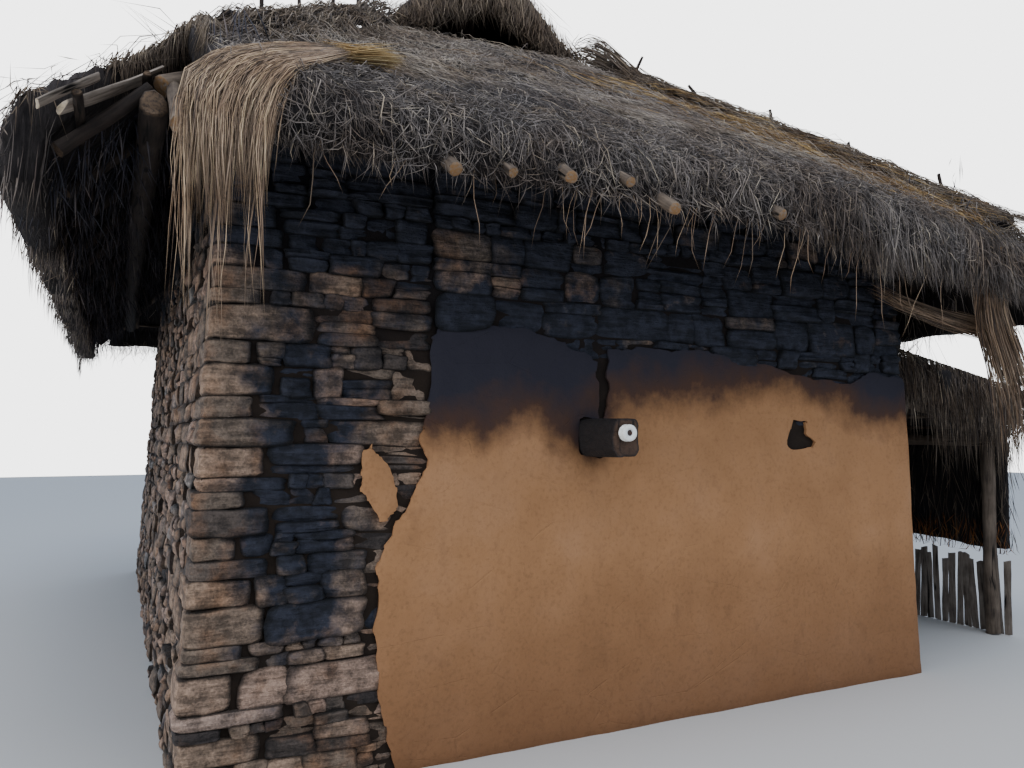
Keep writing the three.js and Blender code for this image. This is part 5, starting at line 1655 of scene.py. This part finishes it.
def buildLeantoStraw():
    rng = np.random.default_rng(14)
    low, high, edge = leanto["from"], leanto["to"], leanto["edge"]
    count = leanto["stems"]
    x, y = rng.uniform(2.2, edge + 0.02, count), rng.uniform(low - 0.03, high + 0.03, count)
    length, aim = rng.uniform(0.15, 0.5, count), rng.normal(0, 0.35, count)
    path = []
    for t, lift in ((0.0, -0.004), (0.5, 0.016), (1.0, 0.008)):
        px, py = x + length * t * np.cos(aim), y + length * t * np.sin(aim)
        height = leantoHeight(px) + leanto["top"]
        spot = columns(np.minimum(px, edge), np.clip(py, low - 0.03, high + 0.03), height)
        path.append(fromAbove(spot, lift - 1.6 * np.maximum(px - edge, 0)))
    strawMesh("leantoStems", path, 0.0026, rng.normal(0.45, 0.2, count), "brownStraw")
    # the hanging screen and the orange stems at its foot, whose orange colour is made brighter as painted light falling
    # on them
    for name, part in leanto["hung"].items():
        count = part["stems"]
        y, z = rng.uniform(low, high, count), rng.uniform(*part["heights"], count)
        face, fall = part["face"](rng.random(count)), rng.uniform(*part["falls"], count)
        sway = part["sway"] * rng.normal(0, 1, count)
        path = [columns(face, y + sway * t, np.maximum(z - fall * t, 0.60)) for t in (0, 0.5, 1.0)]
        strawMesh(name, path, 0.0028, rng.normal(part["tone"], 0.2, count), part["look"])
    # straw that hangs over the open end
    count = leanto["fringe"]
    x, fall = rng.uniform(2.24, edge, count), rng.uniform(0.10, 0.56, count)
    fall, sway = np.maximum(fall + 0.16 * flatNoise(x, x, 0.2, 95), 0.06), 0.07 * rng.normal(0, 1, count)
    top = leantoHeight(x) + leanto["top"] + 0.012
    start = rng.uniform(0.0, 0.28, count) * (rng.random(count) < 0.5)
    path = []
    for t, back in ((-0.3, 0.14), (0.0, 0.02), (0.5, 0.0), (1.0, -0.010)):
        drop = start * (t > -0.1) + np.maximum(t, 0) * fall
        path.append(columns(x + sway * t, leanto["endFace"] + back * rng.uniform(0.4, 1.2, count), top - drop))
    strawMesh("leantoFringe", path, 0.0024, rng.normal(0.42, 0.2, count), "brownStraw")
    # and over its other two edges
    count = leanto["eaveFringe"]
    onEave = rng.random(count) < 0.72
    out = np.where(onEave, edge + 0.03, rng.uniform(2.3, edge + 0.02, count))
    y = np.where(onEave, rng.uniform(low, high, count), high + 0.012)
    fall, sway = rng.uniform(0.20, 0.42, count), 0.06 * rng.normal(0, 1, count)
    top = leantoHeight(out) + leanto["top"]
    path = []
    for t, back in ((-0.3, 0.16), (0.0, 0.03), (0.5, 0.0), (1.0, -0.004)):
        inset, slide = back * rng.uniform(0.4, 1.2, count), sway * np.maximum(t, 0)
        x = np.where(onEave, out - inset, out + slide)
        path.append(columns(x, np.where(onEave, y + slide, y - inset), top + 0.012 - np.maximum(t, 0) * fall))
    strawMesh("leantoEdges", path, 0.0024, rng.normal(0.45, 0.18, count), "brownStraw")
    print("lean-to covered")


# The log end with its reel
logEnd = {
    "x": -0.225, "z": 1.488, "width": 0.152, "height": 0.190, "out": 0.33, "in": 0.28,
    "reel": 0.041, "reelHole": 0.015, "reelLong": 0.046,
}


def buildLogEnd():
    face = -halfD - logEnd["out"]
    bpy.ops.mesh.primitive_cube_add(size=2.0)
    log = bpy.context.object
    log.name = "logEnd"
    editMode()
    bpy.ops.mesh.subdivide(number_cuts=11)
    objectMode()
    co = points(log)
    plan = np.abs(co[:, [0, 2]])
    scale = plan.max(axis=1) / np.maximum((plan ** 4.5).sum(axis=1) ** (1 / 4.5), 1e-6)
    slow, quick = co * (1, 0.4, 1), co * (1, 0.12, 1)
    ridged = 1 - 0.05 * np.abs(softNoise(quick, 0.22, 73))
    x = (co[:, 0] * scale + 0.05 * softNoise(slow, 0.5, 71)) * ridged
    z = (co[:, 2] * scale + 0.05 * softNoise(slow, 0.5, 72)) * ridged
    onEnd = co[:, 1] < -0.99
    y = face + (1 + co[:, 1]) / 2 * (logEnd["out"] + logEnd["in"])
    y = y + np.where(onEnd, 0.008 * (1 + softNoise(co, 0.35, 74)), 0)
    spot = columns(logEnd["x"] + x * logEnd["width"] / 2, y, logEnd["z"] + z * logEnd["height"] / 2)
    setPoints(log, inFrame(spot))
    addField(log, "cut", (onEnd & (plan.max(axis=1) < 0.93)).astype(float))
    smoothBelow(log, 45)
    finishPiece(log, "charredLog", "smoked_timber", "projecting_log")

    radius, hole, long = logEnd["reel"], logEnd["reelHole"], logEnd["reelLong"]
    profile = [(hole, 0.001), (radius - 0.003, 0.001), (radius, 0.004), (radius, 0.011), (radius - 0.004, 0.015),
               (radius - 0.012, 0.018), (radius - 0.013, 0.023), (radius - 0.012, 0.028), (radius - 0.004, 0.033),
               (radius, 0.036), (radius - 0.001, 0.042), (radius - 0.006, long), (hole + 0.006, long),
               (hole, long - 0.004)]
    bpy.ops.mesh.primitive_circle_add(vertices=len(profile), radius=1.0, fill_type="NOTHING")
    reel = bpy.context.object
    reel.name = "reel"
    centre = np.array([logEnd["x"] - 0.010, face - 0.0003, logEnd["z"] + 0.022])
    setPoints(reel, inFrame([centre + (r, -out, 0) for r, out in profile]))
    editMode("SELECT")
    bpy.ops.mesh.spin(steps=40, angle=2 * math.pi, center=tuple(inFrame(centre)), axis=(0, 1, 0))
    bpy.ops.mesh.select_all(action="SELECT")
    bpy.ops.mesh.remove_doubles(threshold=0.00005)
    facesOut()
    smoothBelow(reel, 60)
    finishPiece(reel, "whiteGlaze", "white_glaze", "reel_insulator")
    print("log and reel made")


def dressCadNodes():
    for name, node in nodes.items():
        if name.endswith(("_wall", "pier")) or name.startswith("right_wall"):
            look = "mudJoint"
        elif name.startswith(("wall_plate_left", "wall_plate_right", "ridge_pole", "door_lintel")):
            look = "smokedAlongY"
        elif name.startswith(("wall_plate", "tie_")):
            look = "smokedAlongX"
        elif name.startswith(("king_", "door_jamb")):
            look = "smokedAlongZ"
        elif name == "insulator_screw":
            look = "oldIron"
        else:
            continue
        node.data.materials.clear()
        node.data.materials.append(looks[look])


setCamera()
buildStudio()
buildMaterials()
buildStones()
buildPlaster()
buildBeds()
buildThatch()
buildUnderside()
buildRolls()
buildGablets()
buildHanks()
buildPoles()
buildLeantoStraw()
buildLogEnd()
dressCadNodes()
print("triangles in the new pieces:", tally["triangles"])
